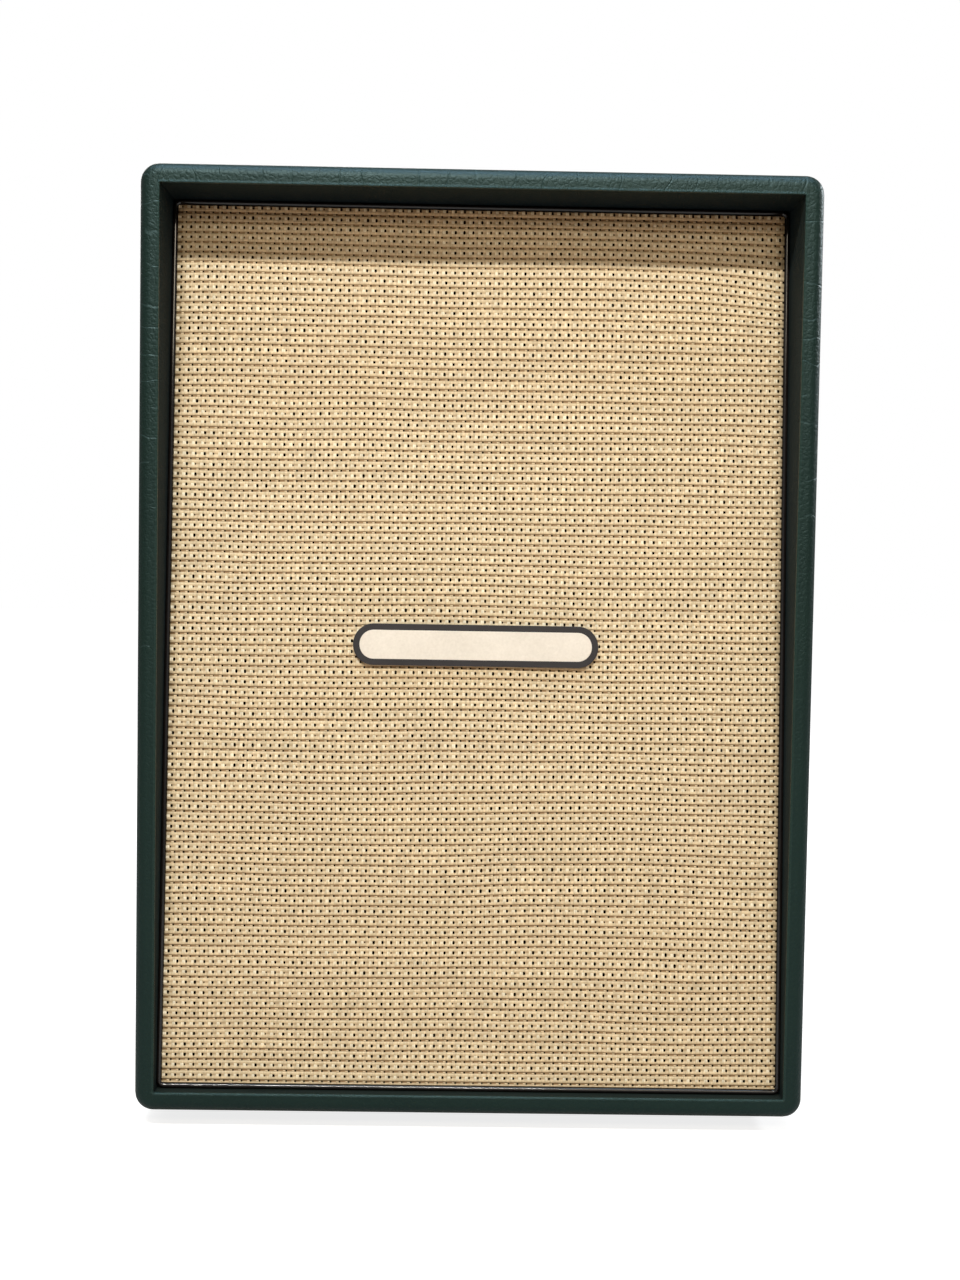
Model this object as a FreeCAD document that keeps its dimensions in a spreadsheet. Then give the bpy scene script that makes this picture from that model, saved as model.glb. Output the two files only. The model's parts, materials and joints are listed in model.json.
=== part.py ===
import FreeCAD, Part
import math
import os
from types import SimpleNamespace

import PartDesign
import Sketcher
from FreeCAD import Placement, Rotation, Vector

# Upright guitar speaker cabinet for two speakers, one above the other, with a baffle that leans back.
# Millimetres. X is to the right seen from the front, Y runs from the front into the cabinet, Z is up.
# The origin is on the floor under the middle of the cabinet.

DRIVING = {
    # Outside of the covered cabinet
    "cab_width": 540,
    "cab_height": 756,
    "cab_depth": 300,
    "board": 15,
    "covering": 0.5,
    "corner_radius": 15,
    "edge_radius": 9,
    # Clearances: between pieces that fit together, between glued pieces, and round a fastener
    "fit_gap": 0.3,
    "glue_gap": 0.2,
    "drill_gap": 0.15,
    # How far the front of the grille lies behind the front edge, at the top and at the bottom
    "lip_top": 60.5,
    "lip_bottom": 10.5,
    # Grille
    "piping_radius": 2.1,
    "piping_corner": 4.5,
    "cloth_set_back": 0.8,
    "cloth_thickness": 1,
    "frame_thickness": 9,
    "frame_bar": 38,
    "pad_thickness": 3,
    "pad_length": 60,
    "pad_width": 25,
    # Badge place: a plain plate with a plain inlay
    "badge_width": 200,
    "badge_height": 34,
    "badge_thickness": 3,
    "badge_border": 5,
    "inlay_depth": 1,
    "badge_stud_radius": 1.5,
    "badge_stud_length": 8,
    "badge_stud_inset": 30,
    # Baffle and battens
    "baffle_thickness": 15,
    "batten": 20,
    # Rear panel
    "rear_panel_thickness": 12,
    "rear_recess": 6,
    "rear_panel_gap": 1,
    # Speakers: the room above, between and below them in the cabinet sets their radius
    "speaker_margin": 42.5,
    "speaker_gap": 20,
    # Speaker: front ring
    "gasket_thickness": 4,
    "gasket_width": 14,
    "basket_sheet": 1.5,
    "basket_hole_inset": 6.5,
    "basket_hole_count": 8,
    # Speaker: surround, cone and dust cap
    "surround_sheet": 0.8,
    "surround_land": 7,
    "roll_width": 10,
    "roll_waves": 2,
    "roll_rise": 1.3,
    "rim_land": 4,
    "cone_sheet": 0.8,
    "cone_depth": 56,
    "cone_curve": 150,
    "cap_radius": 38,
    "cap_rise": 14,
    # Speaker: basket behind the ring
    "bowl_radius": 68,
    "well_radius": 52,
    "well_depth": 14,
    "seat_hole": 30,
    "spider_drop": 5,
    "window_count": 6,
    "window_half_angle": 21,
    "window_margin": 8,
    # Speaker: spider, voice coil and motor
    "spider_sheet": 0.6,
    "spider_waves": 4,
    "spider_wave_rise": 1.2,
    "spider_collar": 4,
    "former_inner": 22,
    "former_wall": 0.5,
    "former_lead_in": 6,
    "winding_wall": 0.8,
    "winding_length": 13,
    "air_gap": 0.4,
    "front_plate_radius": 62,
    "front_plate_thickness": 8,
    "magnet_radius": 73,
    "magnet_bore": 36,
    "magnet_thickness": 20,
    "yoke_radius": 62,
    "yoke_thickness": 8,
    "vent_radius": 6,
    # Speaker: terminal strip
    "strip_length": 32,
    "strip_width": 9,
    "strip_thickness": 2,
    "tab_width": 6.3,
    "tab_thickness": 0.8,
    "tab_height": 11,
    "tab_spread": 9,
    # Jack dish and sockets
    "dish_width": 110,
    "dish_height": 80,
    "dish_flange": 13,
    "dish_depth": 26,
    "dish_sheet": 1.5,
    "dish_corner": 8,
    "jack_spread": 20,
    "jack_body": 20,
    "jack_length": 26,
    "bushing_radius": 4.75,
    "bushing_length": 9,
    "plug_radius": 3.2,
    "plug_depth": 30,
    "nut_radius": 7.3,
    "nut_thickness": 2.5,
    # Leads from the sockets to the speakers
    "lead_radius": 2.5,
    "lead_straight": 30,
    "lead_sag": 12,
    # Recessed side handles, let in between the battens
    "handle_side_gap": 20,
    "handle_height": 118,
    "handle_flange": 14,
    "handle_plate": 3,
    "handle_depth": 48,
    "handle_wall": 3,
    "handle_corner": 12,
    "handle_bar_radius": 10,
    "handle_bar_drop": 26,
    "handle_centre_height": 480,
    # Feet
    "foot_height": 15,
    "foot_top_radius": 19,
    "foot_bottom_radius": 16,
    "foot_bore": 6.5,
    "foot_bore_depth": 8,
    "foot_inset_side": 60,
    "foot_inset_end": 70,
    # Fasteners
    "screw_radius": 2,
    "screw_head_radius": 4.2,
    "screw_head_height": 2.6,
    "screw_bite": 12,
    "bolt_radius": 2.5,
    "bolt_head_radius": 4.6,
    "bolt_head_height": 3.5,
    "tee_barrel_radius": 3.6,
    "tee_barrel_length": 9,
    "tee_flange_radius": 9.5,
    "tee_flange_thickness": 1.4,
}

DERIVED = {
    # Carcass
    "carcass_width": "cab_width - 2 * covering",
    "carcass_height": "cab_height - 2 * covering",
    "carcass_depth": "cab_depth - 2 * covering",
    "carcass_corner": "corner_radius - covering",
    "carcass_edge": "edge_radius - covering",
    "inner_width": "carcass_width - 2 * board",
    "inner_height": "carcass_height - 2 * board",
    "lined_width": "inner_width - 2 * covering",
    "lined_height": "inner_height - 2 * covering",
    "rebate": "board / 2",
    "side_height": "carcass_height - 2 * rebate",
    "through_depth": "cab_depth * 2",
    # Leaning planes: distances are measured from the front of the grille, square to it
    "lip_middle": "(lip_top + lip_bottom) / 2",
    "tilt": "atan((lip_top - lip_bottom) / lined_height) / 1deg",
    "cloth_front": "cloth_set_back",
    "frame_front": "cloth_front + cloth_thickness + fit_gap",
    "frame_back": "frame_front + frame_thickness",
    "baffle_front": "frame_back + pad_thickness",
    "baffle_back": "baffle_front + baffle_thickness",
    "grille_middle": "piping_radius * tan(tilt)",
    "baffle_middle": "(baffle_front + baffle_back) / 2 * tan(tilt)",
    "piping_half_width": "lined_width / 2 - fit_gap - piping_radius",
    "piping_half_height": "(lined_height / 2 - fit_gap - piping_radius) / cos(tilt)",
    "cloth_width": "2 * (piping_half_width - piping_radius - fit_gap)",
    "cloth_height": "2 * (piping_half_height - piping_radius - fit_gap)",
    "cloth_wrap": "frame_back - cloth_front",
    "cloth_corner": "piping_corner - piping_radius - fit_gap",
    "frame_width": "cloth_width - 2 * (cloth_thickness + fit_gap)",
    "frame_height": "cloth_height - 2 * (cloth_thickness + fit_gap)",
    "tray_width": "cloth_width - 2 * cloth_thickness",
    "tray_height": "cloth_height - 2 * cloth_thickness",
    "frame_window_width": "frame_width - 2 * frame_bar",
    "frame_window_height": "(frame_height - 3 * frame_bar) / 2",
    "batten_span": "inner_width - 2 * batten",
    "batten_space": "inner_height - 2 * batten",
    "baffle_height": "2 * (inner_height / 2 - fit_gap - baffle_thickness / 2 * sin(tilt)) / cos(tilt)",
    "inlay_width": "badge_width - 2 * badge_border - 2 * glue_gap",
    "inlay_height": "badge_height - 2 * badge_border - 2 * glue_gap",
    "inlay_pocket_width": "badge_width - 2 * badge_border",
    "inlay_pocket_height": "badge_height - 2 * badge_border",
    "badge_corner": "badge_height / 2 - glue_gap",
    "inlay_corner": "inlay_height / 2 - glue_gap",
    "inlay_pocket_corner": "inlay_pocket_height / 2 - glue_gap",
    # Rear panel
    "rear_panel_width": "lined_width - 2 * rear_panel_gap",
    "rear_panel_height": "lined_height - 2 * rear_panel_gap",
    "rear_lining": "rear_recess + rear_panel_thickness - covering",
    # Speaker radii
    "speaker_radius": "(inner_height - speaker_gap - 2 * speaker_margin) / 4",
    "speaker_offset": "speaker_radius + speaker_gap / 2",
    "hole_circle": "speaker_radius - basket_hole_inset",
    "gasket_inner": "speaker_radius - gasket_width",
    "land_outer": "gasket_inner - fit_gap",
    "flange_inner": "land_outer - surround_land",
    "roll_inner": "flange_inner - roll_width",
    "rim_outer": "roll_inner - fit_gap",
    "rim_inner": "rim_outer - rim_land",
    "former_outer": "former_inner + former_wall",
    "winding_outer": "former_outer + winding_wall",
    "neck_radius": "former_outer + glue_gap",
    "pole_radius": "former_inner - air_gap",
    "front_plate_bore": "winding_outer + air_gap",
    "well_outer": "well_radius + basket_sheet",
    "spider_outer": "bowl_radius - 2 * fit_gap",
    "spider_roll_outer": "well_radius - fit_gap",
    "spider_roll_inner": "neck_radius + spider_collar",
    # Speaker distances behind the baffle
    "flange_back": "gasket_thickness + basket_sheet",
    "surround_front": "gasket_thickness - surround_sheet",
    "rim_front": "gasket_thickness + glue_gap",
    "rim_back": "rim_front + cone_sheet",
    "neck_front": "rim_front + cone_depth",
    "neck_back": "neck_front + cone_sheet",
    "bowl_back": "neck_back + spider_drop",
    "bowl_outside": "bowl_back + basket_sheet",
    "seat_front": "bowl_back + well_depth",
    "motor_front": "seat_front + basket_sheet",
    "magnet_front": "motor_front + front_plate_thickness",
    "yoke_front": "magnet_front + magnet_thickness",
    "yoke_back": "yoke_front + yoke_thickness",
    "winding_front": "motor_front + front_plate_thickness / 2 - winding_length / 2",
    "winding_back": "winding_front + winding_length",
    "former_front": "neck_front - former_lead_in",
    # The cone's curve is an arc from rim to neck; the dust cap sits on it
    "cone_chord": "sqrt((rim_inner - neck_radius) ^ 2 + cone_depth ^ 2)",
    "cone_centre_lift": "sqrt(cone_curve ^ 2 - (cone_chord / 2) ^ 2)",
    "cone_centre_radius": "(rim_inner + neck_radius) / 2 + cone_centre_lift * cone_depth / cone_chord",
    "cone_width": "rim_inner - neck_radius",
    "cone_centre_back": "(rim_front + neck_front) / 2 + cone_centre_lift * cone_width / cone_chord",
    "cap_seat": "cone_centre_back - sqrt(cone_curve ^ 2 - (cone_centre_radius - cap_radius) ^ 2) - glue_gap",
    "cap_edge": "cap_seat - cone_sheet",
    "cap_top": "cap_edge - cap_rise",
    "cap_top_inside": "cap_top + cone_sheet",
    "cap_curve": "(cap_radius ^ 2 + cap_rise ^ 2) / (2 * cap_rise)",
    # Windows between the basket's legs
    "window_outer": "flange_inner - window_margin",
    "window_inner": "bowl_radius + window_margin",
    "window_outer_across": "window_outer * cos(window_half_angle)",
    "window_outer_up": "window_outer * sin(window_half_angle)",
    "window_outer_down": "-window_outer_up",
    "window_inner_across": "window_inner * cos(window_half_angle)",
    "window_inner_up": "window_inner * sin(window_half_angle)",
    "window_inner_down": "-window_inner_up",
    # Jack dish
    "dish_bowl_width": "dish_width - 2 * dish_flange",
    "dish_bowl_height": "dish_height - 2 * dish_flange",
    "dish_inside_width": "dish_bowl_width - 2 * dish_sheet",
    "dish_inside_height": "dish_bowl_height - 2 * dish_sheet",
    "dish_inside_corner": "dish_corner - dish_sheet",
    "dish_hole_width": "dish_bowl_width + 2 * fit_gap",
    "dish_hole_height": "dish_bowl_height + 2 * fit_gap",
    # Handles: the battens' places are distances from the front edge, at the height of the tub's top
    "tub_height": "handle_height - 2 * handle_flange",
    "tub_top": "handle_centre_height + tub_height / 2 - cab_height / 2",
    "front_batten_back": "lip_middle + (baffle_back + batten) * cos(tilt) + tub_top * sin(tilt)",
    "rear_batten_front": "cab_depth - rear_recess - rear_panel_thickness - batten",
    "tub_width": "rear_batten_front - front_batten_back - 2 * handle_side_gap",
    "handle_width": "tub_width + 2 * handle_flange",
    "grip_width": "tub_width - 2 * handle_wall",
    "grip_height": "tub_height - 2 * handle_wall",
    "grip_corner": "handle_corner - handle_wall",
    "handle_hole_width": "tub_width + 2 * fit_gap",
    "handle_hole_height": "tub_height + 2 * fit_gap",
    "handle_hole_depth": "board + 2 * covering",
}

doc = FreeCAD.newDocument("speaker_cabinet")
dims = doc.addObject("Spreadsheet::Sheet", "dims")


def fill_sheet():
    """Writes the driving sizes and the formulas to the sheet, and returns their values by name."""
    names = list(DRIVING) + list(DERIVED)
    contents = [str(number) for number in DRIVING.values()]
    contents += ["=" + formula for formula in DERIVED.values()]
    for row, (name, content) in enumerate(zip(names, contents), start=1):
        dims.set("A%d" % row, name)
        dims.set("B%d" % row, content)
        dims.setAlias("B%d" % row, name)
    doc.recompute()
    return SimpleNamespace(**{name: float(getattr(dims, name)) for name in names})


d = fill_sheet()

pieces = {}

# Tolerances for finding edges, and for a lead's volume
SAME_DIRECTION = 0.01
SAME_PLANE = 1e-4
VOLUME_SHARE = 0.01

# Part of a run that an arc of a lead may take up
TANGENT_SHARE = 0.45

# Reference places
MIDDLE_HEIGHT = d.foot_height + d.cab_height / 2
FRONT = -d.cab_depth / 2
REAR = d.cab_depth / 2
REAR_PANEL_FACE = REAR - d.rear_recess
REAR_BATTEN_FACE = REAR_PANEL_FACE - d.rear_panel_thickness
SPEAKERS = {"upper": (1, 0), "lower": (-1, 180)}
SIDES = {"left": -1, "right": 1}

# The leaning frame: X as before, Y square to the grille and inwards, Z up along it
leaning = Placement(
    Vector(0, FRONT + d.lip_middle, MIDDLE_HEIGHT),
    Rotation(Vector(1, 0, 0), -d.tilt),
)


def moved(x=0, y=0, z=0, axis=Vector(0, 0, 1), angle=0):
    """A placement from a point and a turn."""
    return Placement(Vector(x, y, z), Rotation(axis, angle))


def turned_down(x=0, y=0, z=0):
    """A placement whose own Z points along Y, for pieces that are drawn along Z and lie front to back."""
    return moved(x, y, z, Vector(1, 0, 0), -90)


def keep(label, piece):
    """Names a finished sub-part, which is written to a file of that name."""
    piece.Label = label
    pieces[label] = piece
    return piece


def bind(piece, **sizes):
    """Ties properties of an object to cells of the sheet."""
    for name, cell in sizes.items():
        piece.setExpression(name, "dims." + cell)
    return piece


# Solids from Part primitives


def block(name, x_cell, y_cell, z_cell, centre, within=Placement()):
    """A box with sizes from the sheet, placed by its centre."""
    box = bind(doc.addObject("Part::Box", name), Length=x_cell, Width=y_cell, Height=z_cell)
    half = Vector(getattr(d, x_cell), getattr(d, y_cell), getattr(d, z_cell)) / 2
    box.Placement = within.multiply(Placement(centre - half, Rotation()))
    return box


def rod(name, radius_cell, length_cell, place):
    """A cylinder with sizes from the sheet, drawn along its own Z."""
    cylinder = bind(doc.addObject("Part::Cylinder", name), Radius=radius_cell, Height=length_cell)
    cylinder.Placement = place
    return cylinder


def solid(name, shape, place=Placement()):
    """A piece whose shape is worked out in this script from the sheet's values."""
    feature = doc.addObject("Part::Feature", name)
    feature.Shape = shape
    feature.Placement = place
    return feature


def joined(name, shapes):
    """Several objects as one solid."""
    fusion = doc.addObject("Part::MultiFuse", name)
    fusion.Shapes = shapes
    return fusion


def cut(name, base, tool):
    """One object less another."""
    result = doc.addObject("Part::Cut", name)
    result.Base = base
    result.Tool = tool
    return result


def shared(name, first, second):
    """What two objects have in common."""
    result = doc.addObject("Part::MultiCommon", name)
    result.Shapes = [first, second]
    return result


def group(name, members):
    """Separate solids in one node."""
    compound = doc.addObject("Part::Compound", name)
    compound.Links = members
    return compound


def peg(radius, start, length, direction):
    """A plain round peg, for a shank or for the hole round it."""
    return Part.makeCylinder(radius, length, start, direction)


def headed(head_radius, head_height, shank_radius, length):
    """A fastener along Z: the head above the origin, the shank below it."""
    head = Part.makeCylinder(head_radius, head_height)
    shank = Part.makeCylinder(shank_radius, length + head_height / 2, Vector(0, 0, -length))
    return head.fuse(shank).removeSplitter()


def at_places(shape, places):
    """Copies of a shape, one at each placement."""
    copies = []
    for place in places:
        copy = shape.copy()
        copy.Placement = place
        copies.append(copy)
    return Part.makeCompound(copies)


# Solids from sketches


def sketch_on(body, role, name):
    """An empty sketch on one of the body's own planes."""
    sketch = body.newObject("Sketcher::SketchObject", name)
    plane = next(feature for feature in body.Origin.OriginFeatures if feature.Role == role)
    sketch.AttachmentSupport = [(plane, "")]
    sketch.MapMode = "FlatFace"
    return sketch


def cell_value(cell):
    """A cell's value, or a plain zero for a point on an axis."""
    return getattr(d, cell) if cell else 0.0


def tie(sketch, constraint, cell):
    """Adds a measured constraint and ties it to a cell."""
    index = sketch.addConstraint(constraint)
    if cell:
        sketch.setExpression("Constraints[%d]" % index, "dims." + cell)


def arc_between(start, end, radius, side):
    """The shorter arc between two points; side 1 has its centre to the left of the way, -1 to the right."""
    chord = end - start
    lift = math.sqrt(radius ** 2 - chord.Length ** 2 / 4)
    left = Vector(-chord.y, chord.x, 0).normalize()
    centre = (start + end) / 2 + left * (side * lift)
    angles = [math.atan2(point.y - centre.y, point.x - centre.x) for point in (start, end)]
    circle = Part.Circle(centre, Vector(0, 0, 1), radius)
    return Part.ArcOfCircle(circle, *(angles if side > 0 else reversed(angles)))


def outline(sketch, points, arcs=None):
    """Draws a closed outline and ties its corners, pairs of cells, and its arcs {side: (radius, turn)}."""
    arcs = arcs or {}
    corners = [Vector(cell_value(across), cell_value(up), 0) for across, up in points]
    starts = []
    ends = []
    for index, start in enumerate(corners):
        end = corners[(index + 1) % len(corners)]
        first, last = 1, 2
        if index in arcs:
            radius_cell, side = arcs[index]
            curve = sketch.addGeometry(arc_between(start, end, cell_value(radius_cell), side), False)
            tie(sketch, Sketcher.Constraint("Radius", curve, cell_value(radius_cell)), radius_cell)
            if side < 0:
                first, last = 2, 1
        else:
            curve = sketch.addGeometry(Part.LineSegment(start, end), False)
        starts.append((curve, first))
        ends.append((curve, last))
    for index, (across, up) in enumerate(points):
        sketch.addConstraint(Sketcher.Constraint("Coincident", *ends[index - 1], *starts[index]))
        tie(sketch, Sketcher.Constraint("DistanceX", -1, 1, *starts[index], cell_value(across)), across)
        tie(sketch, Sketcher.Constraint("DistanceY", -1, 1, *starts[index], cell_value(up)), up)


def spun(name, points, arcs=None):
    """A body turned about its own Z from an outline of (radius, distance along Z) cells."""
    body = doc.addObject("PartDesign::Body", name)
    profile = sketch_on(body, "XZ_Plane", name + "_profile")
    outline(profile, points, arcs)
    turn = body.newObject("PartDesign::Revolution", name + "_turn")
    turn.Profile = profile
    turn.ReferenceAxis = (profile, ["V_Axis"])
    turn.Angle = 360
    return body


def ring(name, inner_cell, outer_cell, front_cell, back_cell):
    """A flat ring about its own Z."""
    corners = [(inner_cell, front_cell), (outer_cell, front_cell)]
    corners += [(outer_cell, back_cell), (inner_cell, back_cell)]
    return spun(name, corners)


def repeated(body, feature, sketch, count_cell):
    """A feature repeated round the normal of its sketch."""
    pattern = body.newObject("PartDesign::PolarPattern", feature.Name + "s")
    pattern.Originals = [feature]
    pattern.Axis = (sketch, ["N_Axis"])
    pattern.Angle = 360
    bind(pattern, Occurrences=count_cell)
    body.Tip = pattern
    return pattern


def cut_back(body, sketch, depth_cell, name):
    """A pocket from the front plane of the body backwards, which has to take something away."""
    doc.recompute()
    before = body.Shape.Volume
    pocket = body.newObject("PartDesign::Pocket", name)
    pocket.Profile = sketch
    pocket.Reversed = True
    bind(pocket, Length=depth_cell)
    doc.recompute()
    if body.Shape.Volume >= before:
        raise RuntimeError(name + " cuts nothing")
    return pocket


def edges_along(shape, axis):
    """Names of the straight edges of a shape that run along an axis."""
    names = []
    for index, edge in enumerate(shape.Edges, start=1):
        is_straight = edge.Curve.TypeId == "Part::GeomLine"
        if is_straight and edge.tangentAt(edge.FirstParameter).cross(axis).Length < SAME_DIRECTION:
            names.append("Edge%d" % index)
    return names


def rounded_block(name, x_cell, y_cell, z_cell, axis, radius_cell):
    """A body: a block about the origin whose four edges along one axis are rounded."""
    body = doc.addObject("PartDesign::Body", name)
    blank = body.newObject("PartDesign::AdditiveBox", name + "_blank")
    bind(blank, Length=x_cell, Width=y_cell, Height=z_cell)
    half = Vector(getattr(d, x_cell), getattr(d, y_cell), getattr(d, z_cell)) / 2
    blank.Placement = Placement(-half, Rotation())
    doc.recompute()
    round_edges(body, blank, edges_along(blank.Shape, axis), radius_cell, name + "_corners")
    return body


def round_edges(body, feature, edge_names, radius_cell, name):
    """Rounds named edges of a feature."""
    rounding = body.newObject("PartDesign::Fillet", name)
    rounding.Base = (feature, edge_names)
    bind(rounding, Radius=radius_cell)
    doc.recompute()
    return rounding


def rim_edges(shape, y):
    """Names of the edges that lie in the plane at a distance along Y."""
    names = []
    for index, edge in enumerate(shape.Edges, start=1):
        span = edge.BoundBox
        if max(abs(span.YMin - y), abs(span.YMax - y)) < SAME_PLANE:
            names.append("Edge%d" % index)
    return names


# Carcass


def rounded_cabinet(name, width_cell, depth_cell, height_cell, corner_cell, edge_cell):
    """The whole cabinet as a block with rounded corners and rounded front and rear edges."""
    body = rounded_block(name, width_cell, depth_cell, height_cell, Vector(0, 1, 0), corner_cell)
    half_depth = getattr(d, depth_cell) / 2
    rims = rim_edges(body.Shape, -half_depth) + rim_edges(body.Shape, half_depth)
    round_edges(body, body.Tip, rims, edge_cell, name + "_edges")
    body.Placement = moved(z=MIDDLE_HEIGHT)
    return body


def cross_panel(label, envelope, direction):
    """The top (direction 1) or bottom (-1) board, rebated at both ends for the side boards."""
    middle = MIDDLE_HEIGHT + direction * (d.carcass_height - d.board) / 2
    blank = block(label + "_blank", "carcass_width", "carcass_depth", "board", Vector(0, 0, middle))
    rebates = [
        block(
            label + "_rebate",
            "board",
            "carcass_depth",
            "rebate",
            Vector(side * (d.carcass_width - d.board) / 2, 0, middle - direction * (d.board - d.rebate) / 2),
        )
        for side in SIDES.values()
    ]
    stepped = cut(label + "_stepped", blank, group(label + "_rebates", rebates))
    return shared(label + "_shaped", stepped, envelope)


def side_panel(label, envelope, side, tools):
    """A side board with the hole for its handle and pilot holes for the handle's screws."""
    middle = Vector(side * (d.carcass_width - d.board) / 2, 0, MIDDLE_HEIGHT)
    blank = block(label + "_blank", "board", "carcass_depth", "side_height", middle)
    return keep(label, cut(label, shared(label + "_shaped", blank, envelope), tools))


def lining(name, depth_cell, front):
    """Covering on the inner walls, from a front distance along Y and as deep as a cell says."""
    middle = Vector(0, front + getattr(d, depth_cell) / 2, MIDDLE_HEIGHT)
    outside = block(name + "_outside", "inner_width", depth_cell, "inner_height", middle)
    inside = block(name + "_inside", "lined_width", "through_depth", "lined_height", middle)
    return cut(name, outside, inside)


def covering(envelope, tools):
    """The vinyl: a thin skin round the boards that turns in over their edges and lines the recesses."""
    whole = rounded_cabinet(
        "covered_block", "cab_width", "cab_depth", "cab_height", "corner_radius", "edge_radius"
    )
    skin = cut("covering_skin", whole, envelope)
    opening = block(
        "covering_opening", "lined_width", "through_depth", "lined_height", Vector(0, 0, MIDDLE_HEIGHT)
    )
    skin_open = cut("covering_open", skin, opening)
    behind_baffle = block(
        "behind_baffle",
        "cab_width",
        "cab_depth",
        "cab_height",
        Vector(0, d.baffle_front + d.cab_depth / 2, d.baffle_middle),
        leaning,
    )
    front_wall = lining("front_wall", "carcass_depth", -d.carcass_depth / 2)
    front_lining = cut("front_lining", front_wall, behind_baffle)
    rear_lining = lining("rear_wall", "rear_lining", REAR_BATTEN_FACE)
    wrapped = joined("covering_wrapped", [skin_open, front_lining, rear_lining])
    return keep("vinyl_covering", cut("vinyl_covering", wrapped, tools))


# Grille


def grille_piping():
    """A round bead along the edge of the grille, with rounded corners."""
    half_x = d.piping_half_width
    half_z = d.piping_half_height
    bend = d.piping_corner
    slant = bend * math.sqrt(0.5)
    edges = []
    for turn in range(4):
        reach, rise = (half_x, half_z) if turn % 2 == 0 else (half_z, half_x)
        run = Part.LineSegment(Vector(reach, 0, bend - rise), Vector(reach, 0, rise - bend))
        corner = Part.Arc(
            Vector(reach, 0, rise - bend),
            Vector(reach - bend + slant, 0, rise - bend + slant),
            Vector(reach - bend, 0, rise),
        )
        for curve in (run, corner):
            edge = curve.toShape()
            edge.rotate(Vector(), Vector(0, 1, 0), -90 * turn)
            edges.append(edge)
    path = Part.Wire(edges)
    section = Part.Wire(
        Part.makeCircle(d.piping_radius, Vector(half_x, 0, bend - half_z), Vector(0, 0, 1))
    )
    bead = path.makePipeShell([section], True, False)
    place = leaning.multiply(moved(y=d.piping_radius, z=d.grille_middle))
    return keep("grille_piping", solid("grille_piping", bead, place))


def grille_cloth(stud_holes):
    """The cloth as a shallow tray: stretched over the front of the frame and down its four edges."""
    along = Vector(0, 1, 0)
    body = rounded_block("cloth_tray", "cloth_width", "cloth_wrap", "cloth_height", along, "cloth_corner")
    body.Placement = leaning.multiply(moved(y=d.cloth_front + d.cloth_wrap / 2, z=d.grille_middle))
    hollow = block(
        "cloth_hollow",
        "tray_width",
        "cloth_wrap",
        "tray_height",
        Vector(0, d.cloth_front + d.cloth_thickness + d.cloth_wrap / 2, d.grille_middle),
        leaning,
    )
    return keep("grille_cloth", cut("grille_cloth", cut("cloth_open", body, hollow), stud_holes))


def grille_frame(stud_holes):
    """The wooden frame with a rail across its middle, which carries the badge."""
    depth_middle = (d.frame_front + d.frame_back) / 2
    panel = block(
        "frame_panel",
        "frame_width",
        "frame_thickness",
        "frame_height",
        Vector(0, depth_middle, d.grille_middle),
        leaning,
    )
    window_rise = (d.frame_window_height + d.frame_bar) / 2
    windows = [
        block(
            "frame_window",
            "frame_window_width",
            "frame_thickness",
            "frame_window_height",
            Vector(0, depth_middle, d.grille_middle + side * window_rise),
            leaning,
        )
        for side in (-1, 1)
    ]
    open_frame = cut("frame_open", panel, group("frame_windows", windows))
    return keep("grille_frame", cut("grille_frame", open_frame, stud_holes))


def grille_pads():
    """Hook-and-loop pads between the frame and the baffle, three along each side."""
    across = d.frame_width / 2 - d.frame_bar + d.pad_width / 2
    along = d.frame_height / 2 - d.frame_bar - d.pad_length
    pads = [
        block(
            "grille_pad",
            "pad_width",
            "pad_thickness",
            "pad_length",
            Vector(side * across, d.frame_back + d.pad_thickness / 2, d.grille_middle + step * along),
            leaning,
        )
        for side in (-1, 1)
        for step in (-1, 0, 1)
    ]
    return keep("grille_fastener_pads", group("grille_fastener_pads", pads))


def badge_studs(radius):
    """The two studs that hold the badge on the frame's rail, or the holes round them."""
    start = d.cloth_front - d.fit_gap
    length = d.badge_stud_length + d.fit_gap
    across = d.badge_width / 2 - d.badge_stud_inset
    along = Vector(0, 1, 0)
    ends = [Vector(side * across, start, d.grille_middle) for side in (-1, 1)]
    return Part.makeCompound([peg(radius, end, length, along) for end in ends])


def badge_plate():
    """A plain plate with round ends on two studs, with a shallow pocket for the inlay."""
    plate = rounded_block(
        "badge_blank", "badge_width", "badge_thickness", "badge_height", Vector(0, 1, 0), "badge_corner"
    )
    middle = d.cloth_front - d.fit_gap - d.badge_thickness / 2
    plate.Placement = leaning.multiply(moved(y=middle, z=d.grille_middle))
    pocket = rounded_block(
        "badge_pocket",
        "inlay_pocket_width",
        "badge_thickness",
        "inlay_pocket_height",
        Vector(0, 1, 0),
        "inlay_pocket_corner",
    )
    pocket_middle = middle - d.badge_thickness + d.inlay_depth
    pocket.Placement = leaning.multiply(moved(y=pocket_middle, z=d.grille_middle))
    studs = solid("badge_studs", badge_studs(d.badge_stud_radius), leaning)
    return keep("badge_plate", joined("badge_plate", [cut("badge_dished", plate, pocket), studs]))


def badge_inlay():
    """A plain light bar that lies in the badge plate's pocket."""
    along = Vector(0, 1, 0)
    bar = rounded_block("badge_inlay", "inlay_width", "inlay_depth", "inlay_height", along, "inlay_corner")
    front = d.cloth_front - d.fit_gap - d.badge_thickness
    bar.Placement = leaning.multiply(moved(y=front + d.inlay_depth / 2, z=d.grille_middle))
    return keep("badge_inlay", bar)


# Baffle and battens


def speaker_place(speaker):
    """Where a speaker sits: its own Z runs backwards from the back of the baffle."""
    direction, turn = SPEAKERS[speaker]
    centre = turned_down(0, d.baffle_back, d.baffle_middle + direction * d.speaker_offset)
    return leaning.multiply(centre).multiply(moved(angle=turn))


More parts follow.
